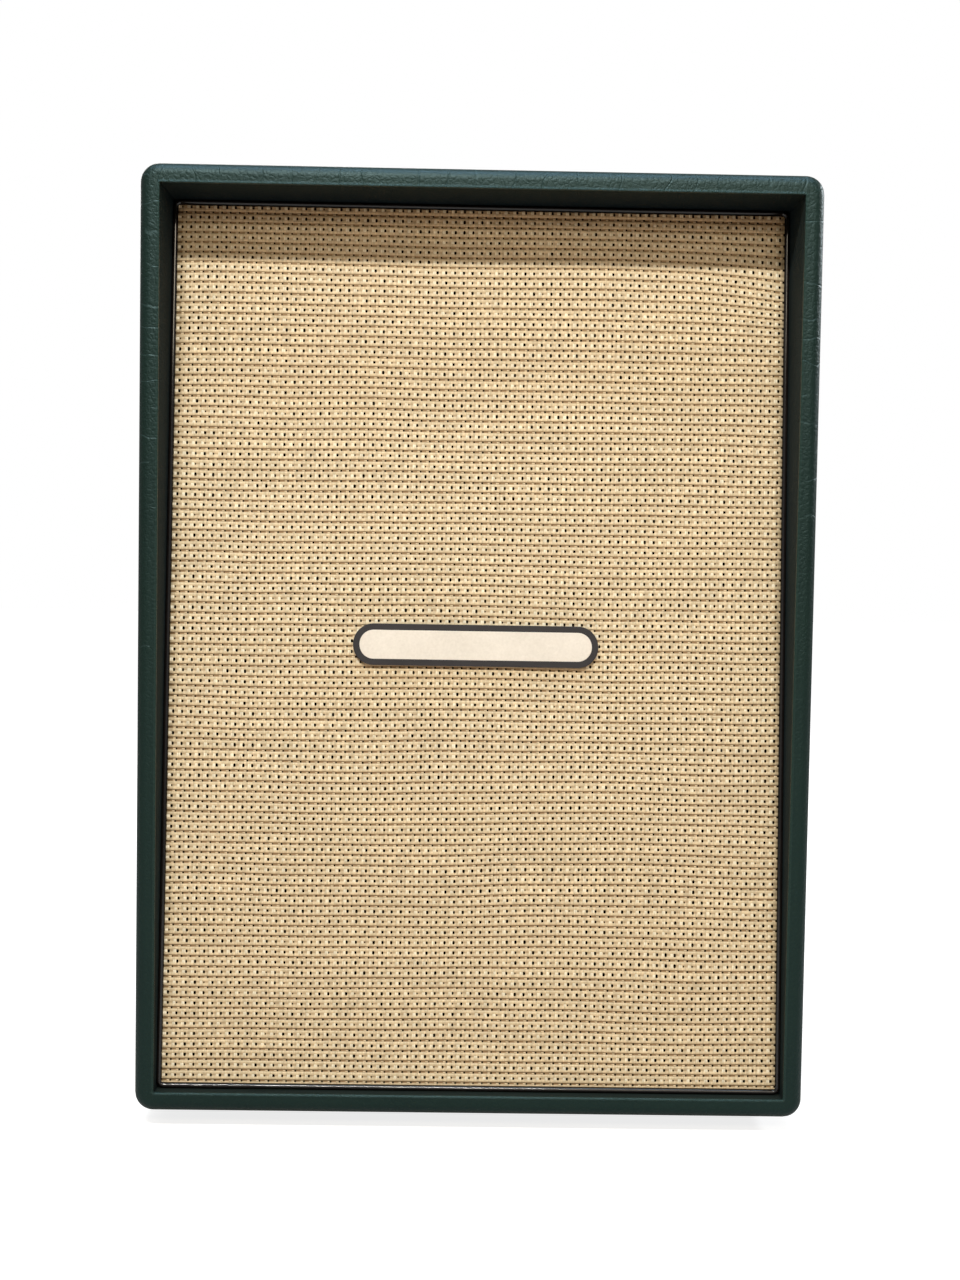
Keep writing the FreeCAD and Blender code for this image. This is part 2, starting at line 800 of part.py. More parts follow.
def bolt_places():
    """Placements of the speaker bolts: every second hole of each basket, heads at the back of its flange."""
    places = []
    for speaker in SPEAKERS:
        for index in range(0, int(d.basket_hole_count), 2):
            angle = 360 * (index + 0.5) / d.basket_hole_count
            around = moved(angle=angle).multiply(moved(x=d.hole_circle, z=d.flange_back))
            places.append(speaker_place(speaker).multiply(around))
    return places


def baffle_screw_places():
    """Placements of the baffle screws, heads on the front of the baffle, over the battens."""
    across = (d.inner_width - d.batten) / 2
    places = []
    for side in (-1, 1):
        for step in (-1, -1 / 3, 1 / 3, 1):
            along = d.baffle_middle + step * (d.baffle_height / 2 - 2 * d.batten)
            local = moved(side * across, d.baffle_front, along, Vector(1, 0, 0), 90)
            places.append(leaning.multiply(local))
    return places


def baffle_board(drills):
    """The leaning board that carries the speakers, with two round openings."""
    depth_middle = (d.baffle_front + d.baffle_back) / 2
    board = block(
        "baffle_blank",
        "inner_width",
        "baffle_thickness",
        "baffle_height",
        Vector(0, depth_middle, d.baffle_middle),
        leaning,
    )
    openings = []
    for direction, _ in SPEAKERS.values():
        place = turned_down(0, d.baffle_front - d.board, d.baffle_middle + direction * d.speaker_offset)
        openings.append(rod("speaker_opening", "gasket_inner", "cab_depth", leaning.multiply(place)))
    pierced = cut("baffle_pierced", board, group("speaker_openings", openings))
    return keep("baffle_board", cut("baffle_board", pierced, drills))


def in_front_of_baffle_back():
    """The space that battens behind the baffle keep clear of."""
    return block(
        "before_battens",
        "cab_width",
        "cab_depth",
        "cab_height",
        Vector(0, d.baffle_back - d.cab_depth / 2, d.baffle_middle),
        leaning,
    )


def baffle_side_battens(drills):
    """The two battens along the sides, which the baffle is screwed to."""
    battens = []
    for side in SIDES.values():
        middle = Vector(
            side * (d.inner_width - d.batten) / 2, d.baffle_back + d.batten / 2, d.baffle_middle
        )
        blank = block("baffle_side_batten", "batten", "batten", "baffle_height", middle, leaning)
        battens.append(blank)
    trimmed = shared("side_battens_trimmed", group("side_battens", battens), cavity())
    return keep("baffle_side_battens", cut("baffle_side_battens", trimmed, drills))


def cavity():
    """The space inside the boards, between the battens along the top and the bottom."""
    return block("cavity", "inner_width", "cab_depth", "batten_space", Vector(0, 0, MIDDLE_HEIGHT))


def baffle_cross_battens():
    """The battens under the top and on the bottom, with their fronts bevelled to the baffle."""
    blanks = []
    for direction in (-1, 1):
        height = MIDDLE_HEIGHT + direction * (d.inner_height - d.batten) / 2
        baffle_here = leaning.multVec(Vector(0, d.baffle_back, direction * d.inner_height / 2))
        middle = Vector(0, baffle_here.y + d.batten / 2, height)
        blanks.append(block("baffle_cross_batten", "inner_width", "batten", "batten", middle))
    return keep(
        "baffle_cross_battens",
        cut("baffle_cross_battens", group("cross_battens", blanks), in_front_of_baffle_back()),
    )


# Speakers


def basket(name):
    """The pressed steel basket: flange, bowl with windows, step for the spider and well for the motor."""
    body = spun(
        name,
        [
            ("speaker_radius", "gasket_thickness"),
            ("flange_inner", "gasket_thickness"),
            ("bowl_radius", "bowl_back"),
            ("well_radius", "bowl_back"),
            ("well_radius", "seat_front"),
            ("seat_hole", "seat_front"),
            ("seat_hole", "motor_front"),
            ("well_outer", "motor_front"),
            ("well_outer", "bowl_outside"),
            ("bowl_radius", "bowl_outside"),
            ("flange_inner", "flange_back"),
            ("speaker_radius", "flange_back"),
        ],
    )
    window = sketch_on(body, "XY_Plane", name + "_window_outline")
    outline(
        window,
        [
            ("window_inner_across", "window_inner_down"),
            ("window_outer_across", "window_outer_down"),
            ("window_outer_across", "window_outer_up"),
            ("window_inner_across", "window_inner_up"),
        ],
        {1: ("window_outer", 1), 3: ("window_inner", -1)},
    )
    opening = cut_back(body, window, "motor_front", name + "_window")
    repeated(body, opening, window, "window_count")
    return body


def corrugated(name, radii, waves, rise, front, sheet):
    """A thin disc with flat lands at both edges and waves between them, from its four radii inwards."""
    outer, wave_outer, wave_inner, inner = radii
    steps = 2 * int(waves)
    pitch = (wave_outer - wave_inner) / steps
    ridge = [(outer, 0), (wave_outer, 0)]
    for step in range(1, steps):
        ridge.append((wave_outer - step * pitch, rise if step % 2 else -rise))
    ridge += [(wave_inner, 0), (inner, 0)]
    points = [Vector(radius, 0, front + lift) for radius, lift in ridge]
    points += [Vector(radius, 0, front + lift + sheet) for radius, lift in reversed(ridge)]
    face = Part.Face(Part.makePolygon(points + points[:1]))
    return solid(name, face.revolve(Vector(), Vector(0, 0, 1), 360))


def surround(name):
    """The pleated edge: a land on the flange, pleats that start forwards, and a rim glued on the cone."""
    radii = (d.land_outer, d.flange_inner, d.roll_inner, d.rim_inner)
    return corrugated(name, radii, d.roll_waves, -d.roll_rise, d.surround_front, d.surround_sheet)


def spider(name):
    """The corrugated disc that centres the voice coil: a land in the basket, waves, and a collar."""
    radii = (d.spider_outer, d.spider_roll_outer, d.spider_roll_inner, d.neck_radius)
    front = d.bowl_back - d.spider_sheet
    return corrugated(name, radii, d.spider_waves, d.spider_wave_rise, front, d.spider_sheet)


def cone(name):
    """The paper cone: a flat rim, then a curved flare down to the voice coil."""
    return spun(
        name,
        [
            ("rim_outer", "rim_front"),
            ("rim_inner", "rim_front"),
            ("neck_radius", "neck_front"),
            ("neck_radius", "neck_back"),
            ("rim_inner", "rim_back"),
            ("rim_outer", "rim_back"),
        ],
        {1: ("cone_curve", -1), 3: ("cone_curve", 1)},
    )


def dust_cap(name):
    """The dome over the voice coil, seated on the cone."""
    return spun(
        name,
        [("", "cap_top"), ("cap_radius", "cap_edge"), ("cap_radius", "cap_seat"), ("", "cap_top_inside")],
        {0: ("cap_curve", 1), 2: ("cap_curve", -1)},
    )


def voice_coil(name):
    """The paper former with the winding round its rear end."""
    return spun(
        name,
        [
            ("former_inner", "former_front"),
            ("former_outer", "former_front"),
            ("former_outer", "winding_front"),
            ("winding_outer", "winding_front"),
            ("winding_outer", "winding_back"),
            ("former_inner", "winding_back"),
        ],
    )


def yoke(name):
    """The back plate and the vented pole that reaches into the voice coil."""
    return spun(
        name,
        [
            ("vent_radius", "motor_front"),
            ("pole_radius", "motor_front"),
            ("pole_radius", "yoke_front"),
            ("yoke_radius", "yoke_front"),
            ("yoke_radius", "yoke_back"),
            ("vent_radius", "yoke_back"),
        ],
    )


def terminal_place():
    """Where the terminal strip lies on the back of the flange, between two bolts, in a speaker's frame."""
    return Vector(0, (d.flange_inner + d.hole_circle - d.bolt_head_radius) / 2, d.flange_back)


def terminal_strip(name):
    """A strip on the back of the flange with two upright tabs."""
    seat = terminal_place()
    strip_middle = seat + Vector(0, 0, d.strip_thickness / 2)
    strip = block(name + "_strip", "strip_length", "strip_width", "strip_thickness", strip_middle)
    tabs = [
        block(
            name + "_tab",
            "tab_width",
            "tab_thickness",
            "tab_height",
            seat + Vector(side * d.tab_spread, 0, d.strip_thickness + d.tab_height / 2),
        )
        for side in (-1, 1)
    ]
    return joined(name, [strip] + tabs)


def speaker(prefix):
    """One speaker of eleven pieces in the place of its name."""
    count = int(d.basket_hole_count)
    holes = [moved(angle=360 * (index + 0.5) / count) for index in range(count)]
    drill = peg(d.bolt_radius + d.drill_gap, Vector(d.hole_circle, 0, 0), d.flange_back, Vector(0, 0, 1))
    drills = at_places(drill, holes)
    gasket = ring("gasket_ring", "gasket_inner", "speaker_radius", "", "gasket_thickness")
    parts = {
        "gasket": cut(prefix + "_gasket", gasket, solid(prefix + "_gasket_holes", drills)),
        "basket": cut(prefix + "_basket", basket(prefix + "_bowl"), solid(prefix + "_flange_holes", drills)),
        "surround": surround(prefix + "_surround"),
        "cone": cone(prefix + "_cone"),
        "dust_cap": dust_cap(prefix + "_dust_cap"),
        "voice_coil": voice_coil(prefix + "_voice_coil"),
        "spider": spider(prefix + "_spider"),
        "front_plate": ring(
            prefix + "_front_plate", "front_plate_bore", "front_plate_radius", "motor_front", "magnet_front"
        ),
        "magnet": ring(prefix + "_magnet", "magnet_bore", "magnet_radius", "magnet_front", "yoke_front"),
        "yoke": yoke(prefix + "_yoke"),
        "terminals": terminal_strip(prefix + "_terminals"),
    }
    for name, part in parts.items():
        part.Placement = speaker_place(prefix)
        keep(prefix + "_" + name, part)


# Rear panel, jack dish and leads


def rear_screw_places():
    """Placements of the rear panel's screws, heads on its outer face, over the battens."""
    across = (d.inner_width - d.batten) / 2
    rise = (d.inner_height - d.batten) / 2
    spots = [(side * across, step * rise) for side in (-1, 1) for step in (-2 / 3, 0, 2 / 3)]
    spots += [(step * across, side * rise) for side in (-1, 1) for step in (-1 / 2, 1 / 2)]
    return [turned_down(x, REAR_PANEL_FACE, MIDDLE_HEIGHT + z) for x, z in spots]


def rear_panel(drills):
    """The back of the cabinet, let in between the covered edges, with the hole for the jack dish."""
    middle = Vector(0, REAR_PANEL_FACE - d.rear_panel_thickness / 2, MIDDLE_HEIGHT)
    blank = block("rear_blank", "rear_panel_width", "rear_panel_thickness", "rear_panel_height", middle)
    hole = block("dish_hole", "dish_hole_width", "through_depth", "dish_hole_height", middle)
    return keep("rear_panel", cut("rear_panel", cut("rear_pierced", blank, hole), drills))


def rear_battens(drills):
    """Battens round the inside that the rear panel is screwed to: two upright, two across between them."""
    depth_middle = REAR_BATTEN_FACE - d.batten / 2
    upright = [
        block(
            "rear_side_batten",
            "batten",
            "batten",
            "inner_height",
            Vector(side * (d.inner_width - d.batten) / 2, depth_middle, MIDDLE_HEIGHT),
        )
        for side in (-1, 1)
    ]
    across = [
        block(
            "rear_cross_batten",
            "batten_span",
            "batten",
            "batten",
            Vector(0, depth_middle, MIDDLE_HEIGHT + side * (d.inner_height - d.batten) / 2),
        )
        for side in (-1, 1)
    ]
    keep("rear_side_battens", cut("rear_side_battens", group("rear_uprights", upright), drills))
    keep("rear_cross_battens", cut("rear_cross_battens", group("rear_crosses", across), drills))


def dish_screw_places():
    """Placements of the dish's screws at the corners of its flange."""
    across = (d.dish_width - d.dish_flange) / 2
    rise = (d.dish_height - d.dish_flange) / 2
    return [
        turned_down(side * across, REAR_PANEL_FACE + d.dish_sheet, MIDDLE_HEIGHT + up * rise)
        for side in (-1, 1)
        for up in (-1, 1)
    ]


def jack_places():
    """Where the two sockets come through the floor of the dish; their own Z points out of the cabinet."""
    floor = REAR_PANEL_FACE + d.dish_sheet - d.dish_depth
    return {
        "input": turned_down(-d.jack_spread, floor, MIDDLE_HEIGHT),
        "link": turned_down(d.jack_spread, floor, MIDDLE_HEIGHT),
    }


def jack_dish(drills):
    """A pressed steel dish: a rounded flange on the rear panel and a rounded bowl let into it."""
    along = Vector(0, 1, 0)
    plate = rounded_block("dish_plate", "dish_width", "dish_sheet", "dish_height", along, "dish_corner")
    plate.Placement = moved(y=REAR_PANEL_FACE + d.dish_sheet / 2, z=MIDDLE_HEIGHT)
    bowl = rounded_block(
        "dish_bowl", "dish_bowl_width", "dish_depth", "dish_bowl_height", along, "dish_corner"
    )
    front_of_bowl = REAR_PANEL_FACE + d.dish_sheet - d.dish_depth
    bowl.Placement = moved(y=front_of_bowl + d.dish_depth / 2, z=MIDDLE_HEIGHT)
    inside = rounded_block(
        "dish_inside", "dish_inside_width", "dish_depth", "dish_inside_height", along, "dish_inside_corner"
    )
    inside.Placement = moved(y=front_of_bowl + d.dish_sheet + d.dish_depth / 2, z=MIDDLE_HEIGHT)
    dished = cut("dish_dished", joined("dish_whole", [plate, bowl]), inside)
    return keep("jack_dish", cut("jack_dish", dished, drills))


def jack_socket(label, place):
    """A jack socket: a square body behind the dish's floor, a bushing through it and the plug's bore."""
    middle = Vector(0, 0, -d.jack_length / 2)
    body = block(label + "_body", "jack_body", "jack_body", "jack_length", middle, place)
    sleeve = rod(label + "_sleeve", "bushing_radius", "bushing_length", place)
    bore_start = moved(z=d.bushing_length - d.plug_depth)
    bore = rod(label + "_bore", "plug_radius", "plug_depth", place.multiply(bore_start))
    return keep(label, cut(label, joined(label + "_whole", [body, sleeve]), bore))


def hex_nut():
    """A plain hexagon nut with a clear hole, lying on the origin."""
    corner = Vector(d.nut_radius, 0, 0)
    corners = [Rotation(Vector(0, 0, 1), 60 * index).multVec(corner) for index in range(6)]
    prism = Part.Face(Part.makePolygon(corners + corners[:1])).extrude(Vector(0, 0, d.nut_thickness))
    return prism.cut(Part.makeCylinder(d.bushing_radius + d.drill_gap, d.nut_thickness))


def lead(label, points):
    """A lead along straight runs joined by arcs, each as large as its two runs allow."""
    edges = []
    start = points[0]
    radii = []
    for before, point, after in zip(points, points[1:], points[2:]):
        back = before - point
        ahead = after - point
        reach = TANGENT_SHARE * min(back.Length, ahead.Length)
        half_turn = (math.pi - back.getAngle(ahead)) / 2
        radius = reach / math.tan(half_turn)
        radii.append(radius)
        towards = (back.normalize() + ahead.normalize()).normalize()
        middle = point + towards * (radius / math.cos(half_turn) - radius)
        arc_start = point + back * reach
        arc_end = point + ahead * reach
        edges.append(Part.LineSegment(start, arc_start).toShape())
        edges.append(Part.Arc(arc_start, middle, arc_end).toShape())
        start = arc_end
    edges.append(Part.LineSegment(start, points[-1]).toShape())
    path = Part.Wire(edges)
    section = Part.Wire(Part.makeCircle(d.lead_radius, points[0], points[1] - points[0]))
    tube = path.makePipeShell([section], True, False)
    expected = math.pi * d.lead_radius ** 2 * path.Length
    print(label, "length", round(path.Length, 1), "radii", [round(radius, 1) for radius in radii])
    if abs(tube.Volume / expected - 1) > VOLUME_SHARE:
        raise RuntimeError(label + " has a volume that its section and length don't explain")
    return keep(label, solid(label, tube))


def speaker_leads():
    """One lead from each socket to the terminals of a speaker, straight at both ends, sagging between."""
    straight = Vector(0, 0, d.lead_straight)
    strip_face = terminal_place() + Vector(0, 0, d.strip_thickness)
    for prefix, socket in (("upper", "input"), ("lower", "link")):
        socket_place = jack_places()[socket]
        socket_back = Vector(0, 0, -d.jack_length)
        start = socket_place.multVec(socket_back)
        after_start = socket_place.multVec(socket_back - straight)
        before_end = speaker_place(prefix).multVec(strip_face + straight)
        end = speaker_place(prefix).multVec(strip_face)
        low_point = (start + end) / 2 - Vector(0, 0, d.lead_sag)
        lead(prefix + "_speaker_lead", [start, after_start, low_point, before_end, end])


# Handles and feet


def handle_place(side):
    """A handle's own frame: X along the depth of the cabinet, Y up or down, Z out of the covered side."""
    up = d.foot_height + d.handle_centre_height
    along = FRONT + (d.front_batten_back + d.rear_batten_front) / 2
    facing = Rotation(Vector(0, 0, 1), 90) if side > 0 else Rotation(Vector(0, 0, 1), -90)
    lying = Rotation(Vector(1, 0, 0), 90)
    return Placement(Vector(side * d.cab_width / 2, along, up), facing.multiply(lying))


def handle_screw_places():
    """Placements of four screws on each handle, heads on its flange."""
    across = (d.handle_width - d.handle_flange) / 2
    rise = (d.handle_height - d.handle_flange) / 2
    return [
        handle_place(side).multiply(moved(sx * across, sy * rise, d.handle_plate))
        for side in SIDES.values()
        for sx in (-1, 1)
        for sy in (-1, 1)
    ]


def handle(label, side, drills):
    """A moulded handle: a rounded plate, a tub let into the side and a round bar across it."""
    out = Vector(0, 0, 1)
    place = handle_place(side)
    plate = rounded_block(
        label + "_plate", "handle_width", "handle_height", "handle_plate", out, "handle_corner"
    )
    plate.Placement = place.multiply(moved(z=d.handle_plate / 2))
    tub = rounded_block(label + "_tub", "tub_width", "tub_height", "handle_depth", out, "handle_corner")
    tub_middle = d.handle_plate - d.handle_depth / 2
    tub.Placement = place.multiply(moved(z=tub_middle))
    grip = rounded_block(label + "_grip", "grip_width", "grip_height", "handle_depth", out, "grip_corner")
    grip.Placement = place.multiply(moved(z=tub_middle + d.handle_wall))
    hollow = cut(label + "_hollow", joined(label + "_whole", [plate, tub]), grip)
    bar_start = moved(-d.tub_width / 2, d.grip_height / 2 - d.handle_bar_drop, -d.handle_bar_radius)
    bar = rod(
        label + "_bar",
        "handle_bar_radius",
        "tub_width",
        place.multiply(bar_start).multiply(moved(axis=Vector(0, 1, 0), angle=90)),
    )
    return keep(label, cut(label, joined(label + "_barred", [hollow, bar]), drills))


def handle_holes():
    """The holes through covering and side boards that take the handles' tubs."""
    holes = []
    for side in SIDES.values():
        hole = rounded_block(
            "handle_hole",
            "handle_hole_width",
            "handle_hole_height",
            "handle_hole_depth",
            Vector(0, 0, 1),
            "handle_corner",
        )
        hole.Placement = handle_place(side).multiply(moved(z=-d.handle_hole_depth / 2))
        holes.append(hole)
    return holes


def foot_spots():
    """The middles of the four feet on the floor, by name."""
    across = d.cab_width / 2 - d.foot_inset_side
    along = d.cab_depth / 2 - d.foot_inset_end
    ends = {"front": -1, "rear": 1}
    return {
        end + "_" + side + "_foot": Vector(SIDES[side] * across, ends[end] * along, 0)
        for end in ends
        for side in SIDES
    }


def foot_screw_places():
    """Placements of the feet's screws, heads in the bores of the feet and shanks upwards."""
    return [
        moved(spot.x, spot.y, d.foot_bore_depth, Vector(1, 0, 0), 180) for spot in foot_spots().values()
    ]


def foot(label, spot, drills):
    """A tapered rubber foot with a bore for the head of its screw."""
    body = bind(
        doc.addObject("Part::Cone", label + "_body"),
        Radius1="foot_bottom_radius",
        Radius2="foot_top_radius",
        Height="foot_height",
    )
    body.Placement = Placement(spot, Rotation())
    bore = rod(label + "_bore", "foot_bore", "foot_bore_depth", Placement(spot, Rotation()))
    return keep(label, cut(label, cut(label + "_bored", body, bore), drills))


# Fasteners and the holes for them


def screw_set(label, length, places):
    """A group of wood screws of one length, and the drill holes round their shanks."""
    screw = headed(d.screw_head_radius, d.screw_head_height, d.screw_radius, length)
    keep(label, solid(label, at_places(screw, places)))
    drill = peg(d.screw_radius + d.drill_gap, Vector(), length + d.drill_gap, Vector(0, 0, -1))
    return solid(label + "_drills", at_places(drill, places))


def speaker_fasteners():
    """Bolts through flange, gasket and baffle, tee nuts in the baffle's front, and the holes for both."""
    reach = d.flange_back + d.baffle_thickness
    bolt = headed(d.bolt_head_radius, d.bolt_head_height, d.bolt_radius, reach)
    keep("speaker_bolts", solid("speaker_bolts", at_places(bolt, bolt_places())))
    flange_start = Vector(0, 0, -reach - d.tee_flange_thickness)
    flange = Part.makeCylinder(d.tee_flange_radius, d.tee_flange_thickness, flange_start)
    barrel = Part.makeCylinder(d.tee_barrel_radius, d.tee_barrel_length, Vector(0, 0, -reach))
    thread = peg(d.bolt_radius + d.drill_gap, Vector(0, 0, -2 * reach), 2 * reach, Vector(0, 0, 1))
    tee_nut = flange.fuse(barrel).removeSplitter().cut(thread)
    keep("speaker_tee_nuts", solid("speaker_tee_nuts", at_places(tee_nut, bolt_places())))
    hole = peg(d.tee_barrel_radius + d.drill_gap, Vector(0, 0, -reach), reach, Vector(0, 0, 1))
    return solid("bolt_holes", at_places(hole, bolt_places()))


def build():
    """Makes every sub-part of the cabinet."""
    carcass = rounded_cabinet(
        "carcass_block", "carcass_width", "carcass_depth", "carcass_height", "carcass_corner", "carcass_edge"
    )
    rear_drills = screw_set("rear_panel_screws", d.rear_panel_thickness + d.screw_bite, rear_screw_places())
    dish_length = d.dish_sheet + d.rear_panel_thickness / 2
    dish_drills = screw_set("jack_dish_screws", dish_length, dish_screw_places())
    handle_length = d.handle_plate + d.covering + d.screw_bite
    handle_drills = screw_set("handle_screws", handle_length, handle_screw_places())
    foot_length = d.foot_height - d.foot_bore_depth + d.covering + d.screw_bite
    foot_drills = screw_set("foot_screws", foot_length, foot_screw_places())
    baffle_drills = screw_set("baffle_screws", d.baffle_thickness + d.screw_bite, baffle_screw_places())
    bolt_holes = speaker_fasteners()
    holes_left, holes_right = handle_holes()

    keep("top_panel", cross_panel("top", carcass, 1))
    keep("bottom_panel", cut("bottom_panel", cross_panel("bottom", carcass, -1), foot_drills))
    side_panel("left_side_panel", carcass, -1, group("left_side_holes", [holes_left, handle_drills]))
    side_panel("right_side_panel", carcass, 1, group("right_side_holes", [holes_right, handle_drills]))
    covering(carcass, group("covering_holes", [holes_left, holes_right, handle_drills, foot_drills]))

    studs = badge_studs(d.badge_stud_radius + d.drill_gap)
    grille_piping()
    grille_cloth(solid("cloth_stud_holes", studs, leaning))
    grille_frame(solid("frame_stud_holes", studs, leaning))
    grille_pads()
    badge_plate()
    badge_inlay()

    baffle_board(group("baffle_holes", [baffle_drills, bolt_holes]))
    baffle_side_battens(baffle_drills)
    baffle_cross_battens()
    for prefix in SPEAKERS:
        speaker(prefix)

    rear_panel(group("rear_holes", [rear_drills, dish_drills]))
    rear_battens(rear_drills)
    sockets = jack_places()
    hole_start = Vector(0, 0, -d.dish_depth)
    bushing_hole = peg(d.bushing_radius + d.drill_gap, hole_start, 2 * d.dish_depth, Vector(0, 0, 1))
    bushing_holes = solid("bushing_holes", at_places(bushing_hole, sockets.values()))
    jack_dish(group("dish_holes", [bushing_holes, dish_drills]))
    for name, place in sockets.items():
        jack_socket(name + "_jack", place)
    nut_lift = moved(z=d.dish_sheet)
    nuts = at_places(hex_nut(), [place.multiply(nut_lift) for place in sockets.values()])
    keep("jack_nuts", solid("jack_nuts", nuts))
    speaker_leads()

    for name, side in SIDES.items():
        handle(name + "_handle", side, handle_drills)
    for label, spot in foot_spots().items():
        foot(label, spot, foot_drills)


def check_document():
    """Stops unless every object is sound and every sub-part is a valid solid."""
    doc.recompute()
    for item in doc.Objects:
        if "Invalid" in item.State or "Error" in item.State:
            raise RuntimeError(item.Label + " has failed")
    for label, piece in pieces.items():
        if piece.Shape.isNull() or not piece.Shape.isValid() or not piece.Shape.Solids:
            raise RuntimeError(label + " is not a valid solid")


def write_pieces():
    """Writes one file for each sub-part."""
    os.makedirs("parts", exist_ok=True)
    for label, piece in pieces.items():
        piece.Shape.exportStep(os.path.join("parts", label + ".step"))


build()
check_document()
write_pieces()
print(len(pieces), "sub-parts written")
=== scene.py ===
import json
import math
import random

import bmesh
import bpy
from mathutils import Matrix, Vector, noise


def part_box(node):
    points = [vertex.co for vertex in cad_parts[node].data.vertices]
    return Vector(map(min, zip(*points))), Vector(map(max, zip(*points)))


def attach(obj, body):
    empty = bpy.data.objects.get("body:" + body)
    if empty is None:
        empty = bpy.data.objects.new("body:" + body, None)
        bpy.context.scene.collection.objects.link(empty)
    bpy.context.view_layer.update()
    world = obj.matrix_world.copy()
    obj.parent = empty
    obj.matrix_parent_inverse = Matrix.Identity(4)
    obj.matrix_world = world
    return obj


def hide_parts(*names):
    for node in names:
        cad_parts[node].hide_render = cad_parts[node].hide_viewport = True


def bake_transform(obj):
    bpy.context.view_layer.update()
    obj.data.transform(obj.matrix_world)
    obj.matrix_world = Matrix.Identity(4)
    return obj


# Looks of an upright guitar speaker cabinet, in metres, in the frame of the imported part.

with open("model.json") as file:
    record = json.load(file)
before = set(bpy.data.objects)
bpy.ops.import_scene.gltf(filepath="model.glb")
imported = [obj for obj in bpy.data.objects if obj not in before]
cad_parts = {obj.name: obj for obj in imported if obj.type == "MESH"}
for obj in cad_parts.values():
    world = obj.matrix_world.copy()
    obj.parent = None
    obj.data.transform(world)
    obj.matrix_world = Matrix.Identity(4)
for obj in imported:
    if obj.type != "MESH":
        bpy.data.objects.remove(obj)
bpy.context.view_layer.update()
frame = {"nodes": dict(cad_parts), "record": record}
nodes = frame["nodes"]
slots = {row["node"]: row["material_slot"] for row in frame["record"]["subparts"]}
chance = random.Random(7)

# The cabinet over its covering, and its covered boards
CAB_WIDTH = 0.540
CAB_HEIGHT = 0.756
CAB_DEPTH = 0.300
BOARD = 0.016

# The grille's own frame: X to the right, Y square to the grille and inwards, Z up along it
FRONT = -0.150
MIDDLE_HEIGHT = 0.393
LIP_TOP = 0.0605
LIP_BOTTOM = 0.0105
LINED_HEIGHT = 0.724
TILT = math.atan((LIP_TOP - LIP_BOTTOM) / LINED_HEIGHT)
GRILLE_ORIGIN = Vector((0, FRONT + (LIP_TOP + LIP_BOTTOM) / 2, MIDDLE_HEIGHT))
GRILLE = Matrix.Translation(GRILLE_ORIGIN) @ Matrix.Rotation(-TILT, 4, "X")

# The photograph's frame, its focal length in pixels, and the camera fitted to its edges
PHOTO_HEIGHT = 1280
FOCAL_PIXELS = 1650
SENSOR = 36
CAMERA_PLACE = (-0.01636, -1.46079, 0.46364)
CAMERA_TURN = (87.207, -0.9358, -0.7954)


# Node materials

EDGE_SAMPLES = 6


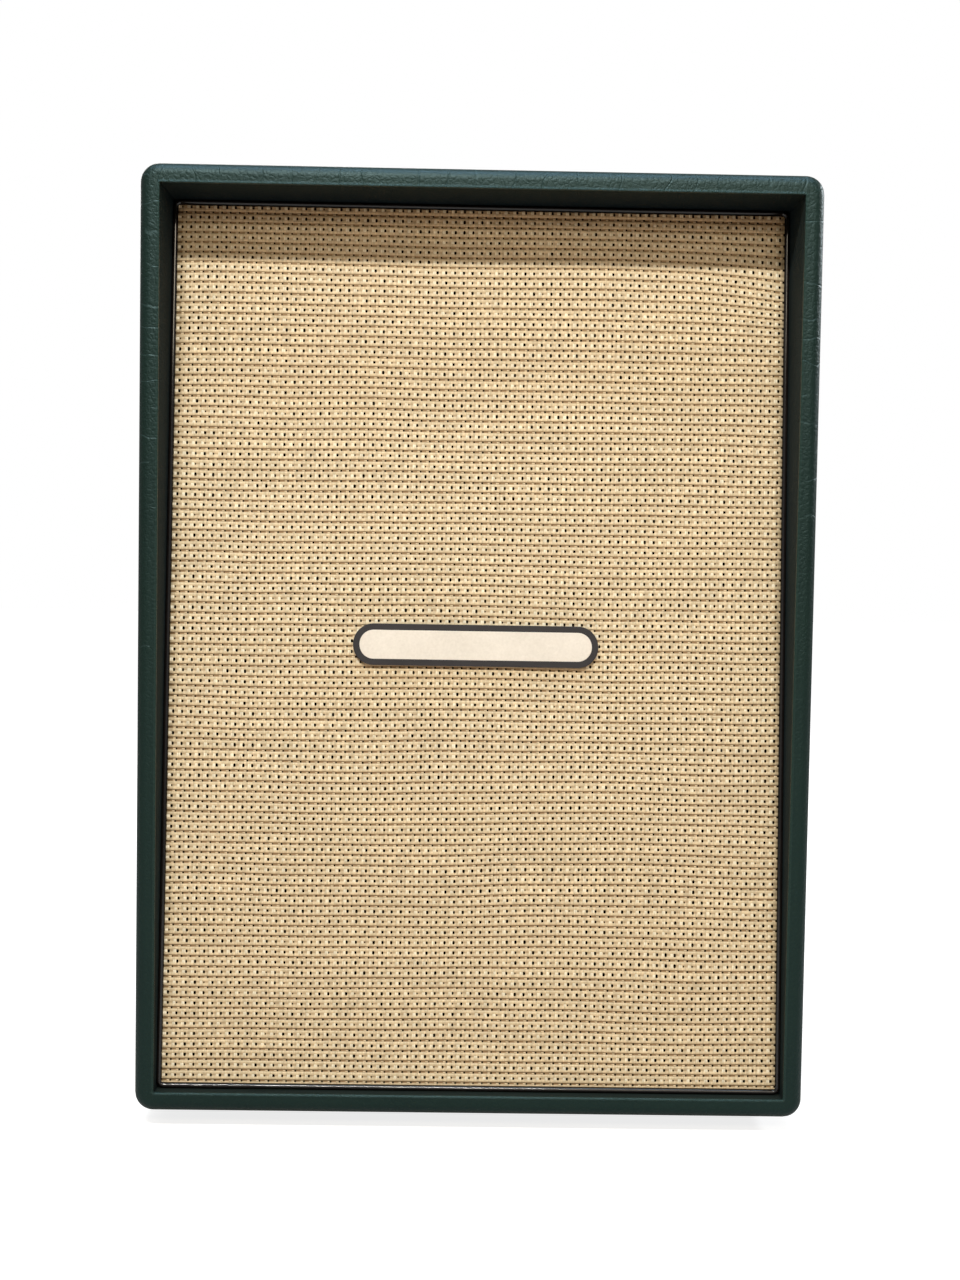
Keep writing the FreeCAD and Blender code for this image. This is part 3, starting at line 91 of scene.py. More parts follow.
class Paint:
    """A node material in the making, with short calls for the nodes that several materials share."""

    def __init__(self, name, sockets):
        self.material = bpy.data.materials.new(name)
        self.material.use_nodes = True
        self.tree = self.material.node_tree
        self.shader = self.tree.nodes["Principled BSDF"]
        for socket, value in sockets.items():
            self.shader.inputs[socket].default_value = value
        self.place = self.tree.nodes.new("ShaderNodeTexCoord").outputs["Object"]

    def node(self, kind, inputs, **settings):
        """Adds a node and gives its inputs constants or other nodes' outputs."""
        made = self.tree.nodes.new("ShaderNode" + kind)
        for name, value in settings.items():
            setattr(made, name, value)
        for socket, value in inputs.items():
            self.feed(made.inputs[socket], value)
        return made

    def feed(self, socket, value):
        """Joins a socket to an output, or sets its constant."""
        if isinstance(value, bpy.types.NodeSocket):
            self.tree.links.new(value, socket)
        else:
            socket.default_value = value

    def stretched(self, factors):
        """Coordinates scaled differently along the three axes."""
        return self.node("Mapping", {"Vector": self.place, "Scale": factors}).outputs[0]

    def noise(self, scale, detail=4.0, vector=None):
        """Soft noise; scale is in waves to the metre."""
        inputs = {"Vector": vector or self.place, "Scale": scale, "Detail": detail}
        return self.node("TexNoise", inputs).outputs[0]

    def cracks(self, scale, bend):
        """Distance to the borders of irregular cells, whose walls are bent by noise."""
        wobble = self.node("TexNoise", {"Vector": self.place, "Scale": scale * 1.7, "Detail": 3.0})
        shift = self.node("VectorMath", {0: wobble.outputs[1], "Scale": bend}, operation="SCALE")
        bent = self.node("VectorMath", {0: self.place, 1: shift.outputs[0]}, operation="ADD")
        cells = self.node(
            "TexVoronoi", {"Vector": bent.outputs[0], "Scale": scale}, feature="DISTANCE_TO_EDGE"
        )
        return cells.outputs[0]

    def ramp(self, value, stops):
        """A colour ramp from (position, colour) pairs."""
        made = self.node("ValToRGB", {0: value})
        points = made.color_ramp.elements
        while len(points) < len(stops):
            points.new(0.5)
        for point, (position, colour) in zip(points, stops):
            point.position = position
            point.color = (*colour, 1)
        return made.outputs[0]

    def rise(self, value, start, end):
        """0 up to one value, 1 from another on, and a slope between them."""
        return self.ramp(value, [(start, (0, 0, 0)), (end, (1, 1, 1))])

    def mix(self, factor, first, second):
        """Mixes two colours, each a constant or an output."""
        made = self.node("Mix", {0: factor}, data_type="RGBA")
        for index, colour in ((6, first), (7, second)):
            if isinstance(colour, tuple):
                colour = (*colour, 1)
            self.feed(made.inputs[index], colour)
        return made.outputs[2]

    def arithmetic(self, operation, first, second=None):
        """One step of arithmetic."""
        inputs = {0: first} if second is None else {0: first, 1: second}
        return self.node("Math", inputs, operation=operation).outputs[0]

    def from_middle(self):
        """Distances across and up from the middle of the cabinet's front."""
        parts = self.node("SeparateXYZ", {0: self.place})
        return parts.outputs["X"], self.arithmetic("SUBTRACT", parts.outputs["Z"], MIDDLE_HEIGHT)

    def inwards(self):
        """Distance behind the middle of the cabinet."""
        return self.node("SeparateXYZ", {0: self.place}).outputs["Y"]

    def limits(self, value, start, end, low, high):
        """Maps the range from start to end to the range from low to high."""
        inputs = {"Value": value, "From Min": start, "From Max": end, "To Min": low, "To Max": high}
        return self.node("MapRange", inputs).outputs[0]

    def spread(self, value, low, high):
        """Maps a value between 0 and 1 to the range from low to high."""
        return self.limits(value, 0.0, 1.0, low, high)

    def bump(self, height, distance, strength, below=None):
        """Turns a height into a surface normal, on top of another normal."""
        inputs = {"Height": height, "Distance": distance, "Strength": strength}
        if below is not None:
            inputs["Normal"] = below
        return self.node("Bump", inputs).outputs[0]

    def soft_edges(self, radius):
        """A normal that rounds sharp edges."""
        return self.node("Bevel", {"Radius": radius}, samples=EDGE_SAMPLES).outputs[0]

    def finish(self, colour, roughness=None, normal=None):
        """Joins the results to the shader and returns the material."""
        for socket, value in (("Base Color", colour), ("Roughness", roughness), ("Normal", normal)):
            if value is not None:
                self.feed(self.shader.inputs[socket], value)
        return self.material


# Covering

GREEN_DARK = (0.0022, 0.0080, 0.0046)
GREEN_LIGHT = (0.0034, 0.0112, 0.0068)
GREEN_PEBBLE = (0.009, 0.022, 0.017)
# Painted highlight along the creases
GREEN_CREASE_HIGHLIGHT = (0.03, 0.056, 0.057)
# Painted highlight along the covering's sharp edges
GREEN_EDGE_HIGHLIGHT = (0.028, 0.060, 0.052)
# Painted shade on the recess walls: at the front edge, and towards the grille
RECESS_SHADE_FRONT = (0.0055, 0.0068, 0.003)
RECESS_SHADE_BACK = (0.0008, 0.0008, 0.0005)
VINYL_SHEEN = (0.61, 0.91, 1.0, 1.0)
EDGE_ROUND = 0.0026
CREASES_PER_METRE = 44.0
CREASE_WANDER = 0.014

# Cosines of a rounded normal's lean where the painted highlight and smoother finish on sharp edges
# start and where they are full
EDGE_LEAN = (0.97, 0.82)

# Where the painted shade on the recess walls fades in behind the front edge, and out beyond the
# recess's walls
RECESS_SHADE_START = (0.0015, 0.0045)
RECESS_SHADE_END = (0.0002, 0.0014)


def edge_highlight_and_polish(paint):
    """1 where the covering is drawn tight over a sharp edge, which gets a painted highlight and a
    smoother finish, and 0 on flat places.
    """
    flat = paint.node("NewGeometry", {}).outputs["Normal"]
    lean = paint.node("VectorMath", {0: flat, 1: paint.soft_edges(EDGE_ROUND)}, operation="DOT_PRODUCT")
    return paint.limits(lean.outputs["Value"], *EDGE_LEAN, 0.0, 1.0)


def rim_creases(paint):
    """Distance to the nearest of the creases that cross the rims at uneven intervals."""
    x, z = paint.from_middle()
    across = paint.arithmetic("ABSOLUTE", paint.arithmetic("DIVIDE", x, CAB_WIDTH / 2))
    up = paint.arithmetic("ABSOLUTE", paint.arithmetic("DIVIDE", z, CAB_HEIGHT / 2))
    on_side = paint.arithmetic("GREATER_THAN", across, up)
    along = paint.node("Mix", {0: on_side, 2: x, 3: z}).outputs[0]
    wander = paint.spread(paint.noise(28.0, 2.0), -CREASE_WANDER, CREASE_WANDER)
    lines = paint.node(
        "TexVoronoi",
        {"W": paint.arithmetic("ADD", along, wander), "Scale": CREASES_PER_METRE},
        voronoi_dimensions="1D",
        feature="DISTANCE_TO_EDGE",
    )
    fading = paint.spread(paint.noise(45.0, 2.0), -0.45, 0.35)
    # the creases, with their bumps and painted highlight, fade lower down
    lower = paint.limits(z, CAB_HEIGHT / 3, -CAB_HEIGHT / 6, 0.0, 0.3)
    depth = paint.arithmetic("ABSOLUTE", paint.inwards())
    inland = paint.limits(depth, CAB_DEPTH / 2 - BOARD, CAB_DEPTH / 2 - 2 * BOARD, 0.0, 1.0)
    faded = paint.arithmetic("MAXIMUM", paint.arithmetic("ADD", fading, lower), 0.0)
    return paint.arithmetic("ADD", lines.outputs[0], paint.arithmetic("ADD", faded, inland))


def recess_shade(paint):
    """Painted shade on the recess walls: olive at the front edge and black towards the grille."""
    share = paint.limits(paint.inwards(), FRONT, FRONT + LIP_TOP, 0.0, 1.0)
    return paint.ramp(share, [(0.0, RECESS_SHADE_FRONT), (0.7, RECESS_SHADE_BACK)])


def painted_recess_share(paint):
    """1 on the walls of the recess, which are hardly lit and get painted shade and a rougher finish,
    and 0 on the rims and the outside.
    """
    x, z = paint.from_middle()
    side = paint.arithmetic("SUBTRACT", paint.arithmetic("ABSOLUTE", x), CAB_WIDTH / 2 - BOARD)
    lid = paint.arithmetic("SUBTRACT", paint.arithmetic("ABSOLUTE", z), CAB_HEIGHT / 2 - BOARD)
    inside = paint.limits(paint.arithmetic("MAXIMUM", side, lid), *RECESS_SHADE_END, 1.0, 0.0)
    start, full = RECESS_SHADE_START
    behind = paint.limits(paint.inwards(), FRONT + start, FRONT + full, 0.0, 1.0)
    return paint.arithmetic("MULTIPLY", inside, behind)


def vinyl():
    """Dark green covering: pebbles, creases across the rims with a painted highlight, a painted
    highlight along sharp edges, and painted shade in the recess.
    """
    paint = Paint("green_vinyl", {"Specular IOR Level": 0.345, "Specular Tint": VINYL_SHEEN})
    pebbles = paint.noise(900.0, 3.0)
    crease = paint.rise(rim_creases(paint), 0.0, 0.05)
    network = paint.rise(paint.cracks(30.0, 0.015), 0.0, 0.03)
    grain = paint.rise(paint.cracks(240.0, 0.002), 0.0, 0.3)
    edge = edge_highlight_and_polish(paint)
    painted_recess_shade = painted_recess_share(paint)
    colour = paint.ramp(paint.noise(14.0, 5.0), [(0.3, GREEN_DARK), (0.7, GREEN_LIGHT)])
    colour = paint.mix(paint.spread(pebbles, 0.0, 0.3), colour, GREEN_PEBBLE)
    # painted highlight: the creases are painted paler
    colour = paint.mix(paint.spread(crease, 0.32, 0.0), colour, GREEN_CREASE_HIGHLIGHT)
    # painted highlight: sharp edges are painted paler
    colour = paint.mix(edge, colour, GREEN_EDGE_HIGHLIGHT)
    # painted shade: the recess walls get a near-black colour in place of the covering's own
    colour = paint.mix(painted_recess_shade, colour, recess_shade(paint))
    roughness = paint.mix(edge, paint.spread(pebbles, 0.34, 0.56), (0.33, 0.33, 0.33))
    roughness = paint.mix(painted_recess_shade, roughness, (0.95, 0.95, 0.95))
    normal = paint.soft_edges(EDGE_ROUND)
    normal = paint.bump(paint.noise(120.0, 4.0), 0.0006, 0.17, normal)
    normal = paint.bump(grain, 0.0003, 0.5, normal)
    normal = paint.bump(pebbles, 0.0003, 0.5, normal)
    normal = paint.bump(network, 0.0002, 0.13, normal)
    normal = paint.bump(crease, 0.0004, 0.6, normal)
    return paint.finish(colour, roughness, normal)


# Other materials

# Painted shade deep in the grille's grooves
GROOVE_PAINTED_SHADE = (0.29, 0.195, 0.098)
RIB_CREAM = (0.735, 0.617, 0.41)
# Brighter copy of the yarn: a painted highlight on the stitches over the shallow grooves
STITCH_HIGHLIGHT_CREAM = (1.0, 0.97, 0.79)
BLACK = (0.008, 0.008, 0.008)
SOOT = (0.02, 0.02, 0.021)


def shaded(colour, share):
    """A darker colour of the same hue."""
    return tuple(share * part for part in colour)


def yarn(name, tint):
    """Cream grille yarn: a painted brown shade deep in the weave, streaked along the rows, with upright
    threads.
    """
    paint = Paint(name, {"Specular IOR Level": 0.35})
    depth = paint.node("Attribute", {}, attribute_name="lit", attribute_type="GEOMETRY").outputs["Fac"]
    streaks = paint.noise(1.0, 4.0, paint.stretched((9.0, 120.0, 120.0)))
    threads = paint.noise(1.0, 3.0, paint.stretched((600.0, 130.0, 130.0)))
    light = paint.ramp(streaks, [(0.3, shaded(tint, 0.84)), (0.7, tint)])
    shade = paint.rise(threads, 0.36, 0.66)
    light = paint.mix(paint.spread(shade, 0.0, 0.72), light, shaded(tint, 0.56))
    # painted shade: points with a low painted lightness turn to the grooves' brown
    colour = paint.mix(depth, GROOVE_PAINTED_SHADE, light)
    normal = paint.bump(threads, 0.00012, 0.6)
    return paint.finish(colour, paint.spread(streaks, 0.38, 0.6), normal)


def speckled(name, dark, light, scale, rough, depth, sockets=None, edge=0.0):
    """A surface whose colour, gloss and height vary a little: moulded, painted, cast or pressed."""
    paint = Paint(name, sockets or {})
    grain = paint.noise(scale, 4.0)
    blotches = paint.noise(scale / 12, 4.0)
    both = paint.mix(0.5, grain, blotches)
    colour = paint.ramp(both, [(0.3, dark), (0.7, light)])
    normal = paint.soft_edges(edge) if edge else None
    normal = paint.bump(grain, depth, 0.7, normal)
    return paint.finish(colour, paint.spread(both, *rough), normal)


def turned_steel(name, dark, light):
    """Plated steel with fine streaks."""
    paint = Paint(name, {"Metallic": 1.0})
    streaks = paint.noise(1.0, 5.0, paint.stretched((180.0, 180.0, 2600.0)))
    stains = paint.noise(60.0, 4.0)
    colour = paint.ramp(paint.mix(0.5, streaks, stains), [(0.25, dark), (0.75, light)])
    normal = paint.bump(streaks, 0.00004, 0.5, paint.soft_edges(0.0003))
    return paint.finish(colour, paint.spread(stains, 0.22, 0.45), normal)


def wood(name, dark, light):
    """Wood with upright grain and broader rings."""
    paint = Paint(name, {"Specular IOR Level": 0.3})
    fine = (260.0, 260.0, 9.0)
    wider = paint.stretched([factor / 6 for factor in fine])
    grain = paint.noise(1.0, 6.0, paint.stretched(fine))
    rings = paint.node("TexWave", {"Vector": wider, "Distortion": 6.0, "Detail": 3.0}).outputs[0]
    colour = paint.ramp(paint.mix(0.45, grain, rings), [(0.25, dark), (0.75, light)])
    return paint.finish(colour, paint.spread(grain, 0.5, 0.75), paint.bump(grain, 0.0002, 0.6))


def woven(name, dark, light, pitch, rough):
    """Coarse treated cloth: two sets of crossing threads."""
    paint = Paint(name, {"Specular IOR Level": 0.25, "Sheen Weight": 0.1})
    wave = {"Vector": paint.place, "Scale": 0.5 / pitch}
    warp = paint.node("TexWave", wave, bands_direction="X").outputs[0]
    weft = paint.node("TexWave", wave, bands_direction="Z").outputs[0]
    threads = paint.mix(0.5, warp, weft)
    worn = paint.mix(0.35, threads, paint.noise(90.0, 4.0))
    colour = paint.ramp(worn, [(0.2, dark), (0.8, light)])
    return paint.finish(colour, paint.spread(worn, *rough), paint.bump(threads, pitch / 3, 0.7))


def wound_copper(name):
    """Fine copper wire wound round a former."""
    paint = Paint(name, {"Metallic": 0.9})
    wave = {"Vector": paint.place, "Scale": 500.0, "Distortion": 0.4}
    turns = paint.node("TexWave", wave, bands_direction="Y").outputs[0]
    colour = paint.ramp(turns, [(0.2, (0.16, 0.06, 0.025)), (0.8, (0.62, 0.29, 0.13))])
    return paint.finish(colour, paint.spread(turns, 0.4, 0.25), paint.bump(turns, 0.0003, 0.8))


def case_materials():
    """Covering, boards and battens."""
    return {
        "vinyl": vinyl(),
        "plywood": wood("birch_plywood", (0.34, 0.22, 0.12), (0.62, 0.46, 0.29)),
        "softwood": wood("pine_batten", (0.42, 0.26, 0.13), (0.68, 0.5, 0.3)),
        "painted_board": speckled(
            "painted_board", BLACK, SOOT, scale=700.0, rough=(0.45, 0.7), depth=0.0002, edge=0.0006
        ),
    }


def grille_materials():
    """Cloth, piping, pads and the plate in the middle."""
    return {
        "cloth": yarn("grille_yarn", RIB_CREAM),
        # painted highlight: a brighter copy of the yarn for the stitches over the shallow grooves
        "stitch": yarn("grille_stitch_highlight", STITCH_HIGHLIGHT_CREAM),
        # dark patches: the black board behind the gaps, in painted shade
        "gap": speckled(
            "grille_gap_black_and_shade",
            dark=(0.002, 0.001, 0.0008),
            light=(0.006, 0.004, 0.0025),
            scale=800.0,
            rough=(0.9, 1.0),
            depth=0.0001,
            sockets={"Specular IOR Level": 0.02},
        ),
        "piping": speckled(
            "piping_plastic",
            dark=(0.006, 0.0050, 0.0048),
            light=(0.011, 0.0092, 0.009),
            scale=300.0,
            rough=(0.07, 0.14),
            depth=0.00001,
            sockets={"Specular IOR Level": 0.5},
        ),
        "hook_pad": woven("hook_pad", (0.006, 0.006, 0.006), (0.03, 0.03, 0.03), 0.0016, (0.8, 0.95)),
        "badge": speckled(
            "badge_black",
            dark=(0.008, 0.007, 0.009),
            light=(0.016, 0.014, 0.017),
            scale=900.0,
            rough=(0.32, 0.5),
            depth=0.00005,
            edge=0.0005,
        ),
        "inlay": speckled(
            "badge_cream",
            dark=(0.62, 0.60, 0.55),
            light=(0.74, 0.72, 0.67),
            scale=500.0,
            rough=(0.35, 0.5),
            depth=0.00004,
            edge=0.0004,
        ),
    }


def speaker_materials():
    """Baskets, motors, cones and what holds them."""
    return {
        "black_steel": speckled(
            "black_enamel",
            dark=BLACK,
            light=(0.017, 0.017, 0.018),
            scale=1200.0,
            rough=(0.3, 0.5),
            depth=0.00012,
            edge=0.0005,
        ),
        "plate_steel": turned_steel("plate_steel", (0.36, 0.35, 0.31), (0.62, 0.61, 0.56)),
        "ferrite": speckled(
            "ferrite",
            dark=(0.018, 0.018, 0.02),
            light=(0.05, 0.05, 0.053),
            scale=1500.0,
            rough=(0.6, 0.85),
            depth=0.0002,
        ),
        "gasket": speckled(
            "cork_gasket",
            dark=(0.16, 0.09, 0.045),
            light=(0.36, 0.24, 0.13),
            scale=500.0,
            rough=(0.75, 0.95),
            depth=0.0003,
        ),
        "surround": woven("doped_cloth", BLACK, (0.03, 0.029, 0.027), 0.0009, (0.45, 0.7)),
        "spider": woven("amber_cloth", (0.28, 0.15, 0.05), (0.6, 0.38, 0.16), 0.0008, (0.6, 0.8)),
        "paper": speckled(
            "cone_paper",
            dark=(0.014, 0.014, 0.014),
            light=(0.05, 0.048, 0.045),
            scale=420.0,
            rough=(0.7, 0.95),
            depth=0.0002,
        ),
        "coil": wound_copper("voice_coil"),
        "terminal": speckled(
            "phenolic_strip",
            dark=(0.1, 0.05, 0.025),
            light=(0.22, 0.12, 0.06),
            scale=800.0,
            rough=(0.4, 0.6),
            depth=0.00005,
        ),
    }


def fitting_materials():
    """Screws, jacks, leads, handles and feet."""
    return {
        "zinc": turned_steel("zinc_plate", (0.42, 0.42, 0.43), (0.72, 0.72, 0.73)),
        "black_screw": speckled(
            "black_screw",
            dark=(0.012, 0.012, 0.012),
            light=(0.04, 0.04, 0.042),
            scale=900.0,
            rough=(0.28, 0.45),
            depth=0.00003,
            sockets={"Metallic": 0.6},
        ),
        "jack_body": speckled(
            "jack_plastic", BLACK, SOOT, scale=900.0, rough=(0.3, 0.45), depth=0.00004, edge=0.0003
        ),
        "lead": speckled(
            "lead_sleeve",
            dark=BLACK,
            light=(0.018, 0.018, 0.018),
            scale=350.0,
            rough=(0.35, 0.5),
            depth=0.00005,
        ),
        "handle": speckled(
            "moulded_handle", BLACK, SOOT, scale=1700.0, rough=(0.38, 0.58), depth=0.00025, edge=0.001
        ),
        "foot": speckled(
            "foot_rubber",
            dark=(0.01, 0.01, 0.01),
            light=(0.028, 0.028, 0.028),
            scale=1100.0,
            rough=(0.65, 0.9),
            depth=0.0002,
            edge=0.0012,
        ),
    }


# Meshes

SAME_POINT = 1e-6


def mesh_piece(name, points, faces, smooth=True):
    """A new piece from points and faces, linked to the scene."""
    mesh = bpy.data.meshes.new(name)
    mesh.from_pydata(points, [], faces)
    mesh.validate()
    mesh.polygons.foreach_set("use_smooth", [smooth] * len(mesh.polygons))
    piece = bpy.data.objects.new(name, mesh)
    bpy.context.scene.collection.objects.link(piece)
    return piece


def grid_faces(start, rows, columns):
    """Four-sided faces of a grid of points, which are numbered row by row from a first number on."""
    corners = [
        start + row * columns + column for row in range(rows - 1) for column in range(columns - 1)
    ]
    return [(corner, corner + 1, corner + columns + 1, corner + columns) for corner in corners]


def shade_points(piece, values):
    """Keeps a painted lightness between 0 and 1 with each point, which the yarn's colour reads; low
    values are painted shade.
    """
    attribute = piece.data.attributes.new("lit", "FLOAT", "POINT")
    attribute.data.foreach_set("value", values)


def dress(piece, material):
    """Gives a new piece its material and slot, and puts it on the cabinet."""
    piece.data.materials.clear()
    piece.data.materials.append(material)
    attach(piece, "cabinet")


# Grille cloth: cream ribs in pairs, upright stitches across the grooves, and dark pinholes beside them

# The cloth's face, and the hem that is turned back round the frame
CLOTH_WIDTH = 0.4984
CLOTH_HEIGHT = 0.7161
CLOTH_TURN = 0.009
# The crests of the ribs lie this far behind the grille's plane
CREST = 0.00055
# Columns of stitches across the cloth, and pairs of ribs up it
COLUMNS = 69
PAIRS = 85
COLUMN = CLOTH_WIDTH / COLUMNS
# The lowest deep groove lies this share of a pair above the bottom edge
FIRST_GROOVE = 0.29
# The cloth bends back at its top and bottom edges: share of a pair that bends, depth, painted lightness
EDGE_BEND = 0.06
EDGE_DEPTH = 0.0009
EDGE_LIGHT = 0.5
# Painted lightness of the hem that is turned back, a painted shade
HEM_LIGHT = 0.6
# Unevenness in depth from row to row, and along each row
SWELL = 0.00012
UNEVEN = 0.00008

# Sway of the rows, and how steeply it rises from nothing at the top and bottom edges
SLOW_SWAY = 0.0032
QUICK_SWAY = 0.0008
SWAY_FADE = 14

# A pull on the rows near the upper right corner: how far, its start across, its height and its spread
PULL = -0.007
PULL_START = 0.15
PULL_SHARE = 0.93
PULL_SPREAD = 0.06

# One pair of ribs from groove to groove: share of the pair's height, depth behind the crest, painted
# lightness (painted shade on the slopes and in the grooves)
PAIR_PROFILE = [
    (0.0, 0.00105, 0.0),
    (0.072, 0.00095, 0.0),
    (0.112, 0.0003, 0.6),
    (0.17, 0.00006, 1.0),
    (0.25, 0.0, 1.0),
    (0.36, 0.00008, 0.95),
    (0.44, 0.00028, 0.64),
    (0.5, 0.0004, 0.5),
    (0.56, 0.00026, 0.64),
    (0.64, 0.00007, 0.95),
    (0.75, 0.0, 1.0),
    (0.83, 0.00006, 1.0),
    (0.88, 0.00034, 0.65),
    (0.918, 0.00095, 0.0),
]


def row_wave(x, share):
    """How far a row strays up or down at a place on the cloth; nothing at the top and bottom edges."""
    fade = min(1.0, SWAY_FADE * share, SWAY_FADE * (1 - share))
    slow = noise.noise(Vector((x * 5.0, share * 4.0, 3.7)))
    quick = noise.noise(Vector((x * 16.0, share * 13.0, 9.1)))
    edge = max(0.0, (x - PULL_START) / (CLOTH_WIDTH / 2 - PULL_START))
    pulled = PULL * edge**2 * math.exp(-(((share - PULL_SHARE) / PULL_SPREAD) ** 2))
    return fade * (SLOW_SWAY * slow + QUICK_SWAY * quick + pulled)


def cloth_point(across, pairs, depth):
    """A point of the cloth from its place in columns and pairs, and its depth behind the crests."""
    x = across * COLUMN - CLOTH_WIDTH / 2
    share = pairs / PAIRS
    z = (share - 0.5) * CLOTH_HEIGHT + row_wave(x, share)
    return GRILLE @ Vector((x, CREST + depth, z))


def ribbed_sheet(material):
    """The cloth as one ribbed sheet that turns back round the frame at its four edges."""
    ribs = []
    for pair in range(-1, PAIRS):
        ribs += [(pair + FIRST_GROOVE + share, depth, light) for share, depth, light in PAIR_PROFILE]
    rows = [(0.0, EDGE_DEPTH, EDGE_LIGHT)]
    rows += [rib for rib in ribs if EDGE_BEND < rib[0] < PAIRS - EDGE_BEND]
    rows.append((PAIRS, EDGE_DEPTH, EDGE_LIGHT))
    points = []
    values = []
    for pairs, depth, light in rows:
        swell = SWELL * noise.noise(Vector((pairs * 3.1, 0.0, 1.3)))
        for column in range(COLUMNS + 1):
            uneven = UNEVEN * noise.noise(Vector((column * 0.9, pairs * 2.0, 5.0)))
            points.append(cloth_point(column, pairs, depth + swell + uneven))
            values.append(light)
    width = COLUMNS + 1
    faces = grid_faces(0, len(rows), width)
    back = GRILLE.to_3x3() @ Vector((0, CLOTH_TURN, 0))
    left = [row * width for row in range(len(rows))]
    right = [row * width + COLUMNS for row in range(len(rows))]
    bottom = list(range(width))
    top = [left[-1] + column for column in range(width)]
    for border in (left[::-1], right, bottom, top[::-1]):
        first = len(points)
        points += [points[index] + back for index in border]
        values += [HEM_LIGHT] * len(border)
        for step in range(len(border) - 1):
            faces.append((border[step], first + step, first + step + 1, border[step + 1]))
    sheet = mesh_piece("grille_cloth_woven", points, faces)
    shade_points(sheet, values)
    dress(sheet, material)
    return sheet


# Two strands side by side in each stitch: place across its half width, drop below its crest, painted
# lightness (painted shade at the sides)
STRANDS = [
    (-1, 0.0004, 0.45),
    (-0.5, 0.0, 1.0),
    (-0.05, 0.00014, 0.7),
    (0.4, 0.0, 1.0),
    (1, 0.0005, 0.45),
]

# Stitches over the shallow and the deep grooves: (share of a pair, depth of the middle)
SHALLOW_STITCH = [(0.32, 0.0001), (0.44, -0.00008), (0.56, -0.00008), (0.68, 0.0001)]
DEEP_STITCH = [(-0.15, 0.00018), (-0.07, 0.0), (0.0, 0.00002), (0.055, 0.00024)]

# Place in the column, and half width, in columns
SHALLOW_PLACE = 0.2
DEEP_PLACE = 0.7
SHALLOW_HALF = 0.21
DEEP_HALF = 0.165

# How far stitches differ: sideways in columns, in width, and in depth
STRAY = 0.02
STITCH_WIDTHS = (0.85, 1.1)
STITCH_LIFT = 0.00006


def stitches(name, profile, offset, half_width, material):
    """Short upright stitches, one in each column, bridging one groove of every pair."""
    points = []
    faces = []
    values = []
    for pair in range(PAIRS):
        for column in range(COLUMNS):
            middle = column + offset + STRAY * chance.uniform(-1, 1)
            half = half_width * chance.uniform(*STITCH_WIDTHS)
            lift = STITCH_LIFT * chance.uniform(-1, 1)
            faces += grid_faces(len(points), len(profile), len(STRANDS))
            for share, depth in profile:
                height = pair + FIRST_GROOVE + share
                for side, drop, value in STRANDS:
                    points.append(cloth_point(middle + side * half, height, depth + drop + lift))
                    values.append(value)
    piece = mesh_piece(name, points, faces)
    shade_points(piece, values)
    dress(piece, material)
    return piece


# Gaps beside the stitches: column, share of a pair, depth, half width in columns, half height in pairs
PINHOLES = [
    (SHALLOW_PLACE + SHALLOW_HALF + 0.095, 0.5, 0.00006, 0.145, 0.2),
    (DEEP_PLACE + DEEP_HALF + 0.085, 0.0, 0.0002, 0.115, 0.105),
]
HOLE_CORNERS = 6
HOLE_SIZES = (0.8, 1.1)

# Share of the gaps that are nearly closed, and their size
CLOSED_SHARE = 0.1
CLOSED_SIZE = 0.55


def pinholes(material):
    """Dark patches for the gaps beside the stitches: the black board behind them, in painted shade."""
    points = []
    faces = []
    angles = [2 * math.pi * (corner + 0.5) / HOLE_CORNERS for corner in range(HOLE_CORNERS)]
    for place, share, depth, wide, tall in PINHOLES:
        for pair in range(PAIRS):
            for column in range(COLUMNS):
                middle = column + place + STRAY * chance.uniform(-1, 1)
                open_gap = chance.random() > CLOSED_SHARE
                size = chance.uniform(*HOLE_SIZES) if open_gap else CLOSED_SIZE
                faces.append(tuple(range(len(points), len(points) + HOLE_CORNERS)))
                for angle in angles:
                    across = middle + size * wide * math.cos(angle)
                    height = pair + FIRST_GROOVE + share + size * tall * math.sin(angle)
                    points.append(cloth_point(across, height, depth))
    piece = mesh_piece("grille_cloth_pinholes", points, faces, smooth=False)
    dress(piece, material)
    return piece


def grille_cloth(materials):
    """The woven cloth, which stands for the plain tray of the part."""
    sheet = ribbed_sheet(materials["cloth"])
    over_shallow = stitches(
        "grille_cloth_stitches_a", SHALLOW_STITCH, SHALLOW_PLACE, SHALLOW_HALF, materials["stitch"]
    )
    over_deep = stitches(
        "grille_cloth_stitches_b", DEEP_STITCH, DEEP_PLACE, DEEP_HALF, materials["cloth"]
    )
    gaps = pinholes(materials["gap"])
    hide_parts("grille_cloth")


# Screws with a crosswise slot

SCREW_HEAD = 0.0042
HEAD_HEIGHT = 0.0026
SHANK = 0.0019
TIP = 0.0002
POINT_LENGTH = 0.005
SCREW_SIDES = 20
SLOT_REACH = 0.0021
SLOT_HALF = 0.0005
SLOT_DEPTH = 0.0014
SLOT_TAPER = 0.6
SHARP_ANGLE = math.radians(35)

# The head's dome: shares of its radius, and of its height below its top
DOME = [(1.0, 0.78), (0.86, 0.3), (0.62, 0.06)]


def solids_of(node):
    """The boxes of the separate solids in a node, each as its low and high corner."""
    mesh = bmesh.new()
    mesh.from_mesh(nodes[node].data)
    bmesh.ops.remove_doubles(mesh, verts=mesh.verts, dist=SAME_POINT)
    waiting = set(mesh.verts)
    boxes = []
    for start in mesh.verts:
        if start not in waiting:
            continue
        waiting.remove(start)
        found = [start]
        for vert in found:
            touching = {edge.other_vert(vert) for edge in vert.link_edges} & waiting
            waiting -= touching
            found += touching
        places = [vert.co for vert in found]
        boxes.append((Vector(map(min, zip(*places))), Vector(map(max, zip(*places)))))
    mesh.free()
    return boxes


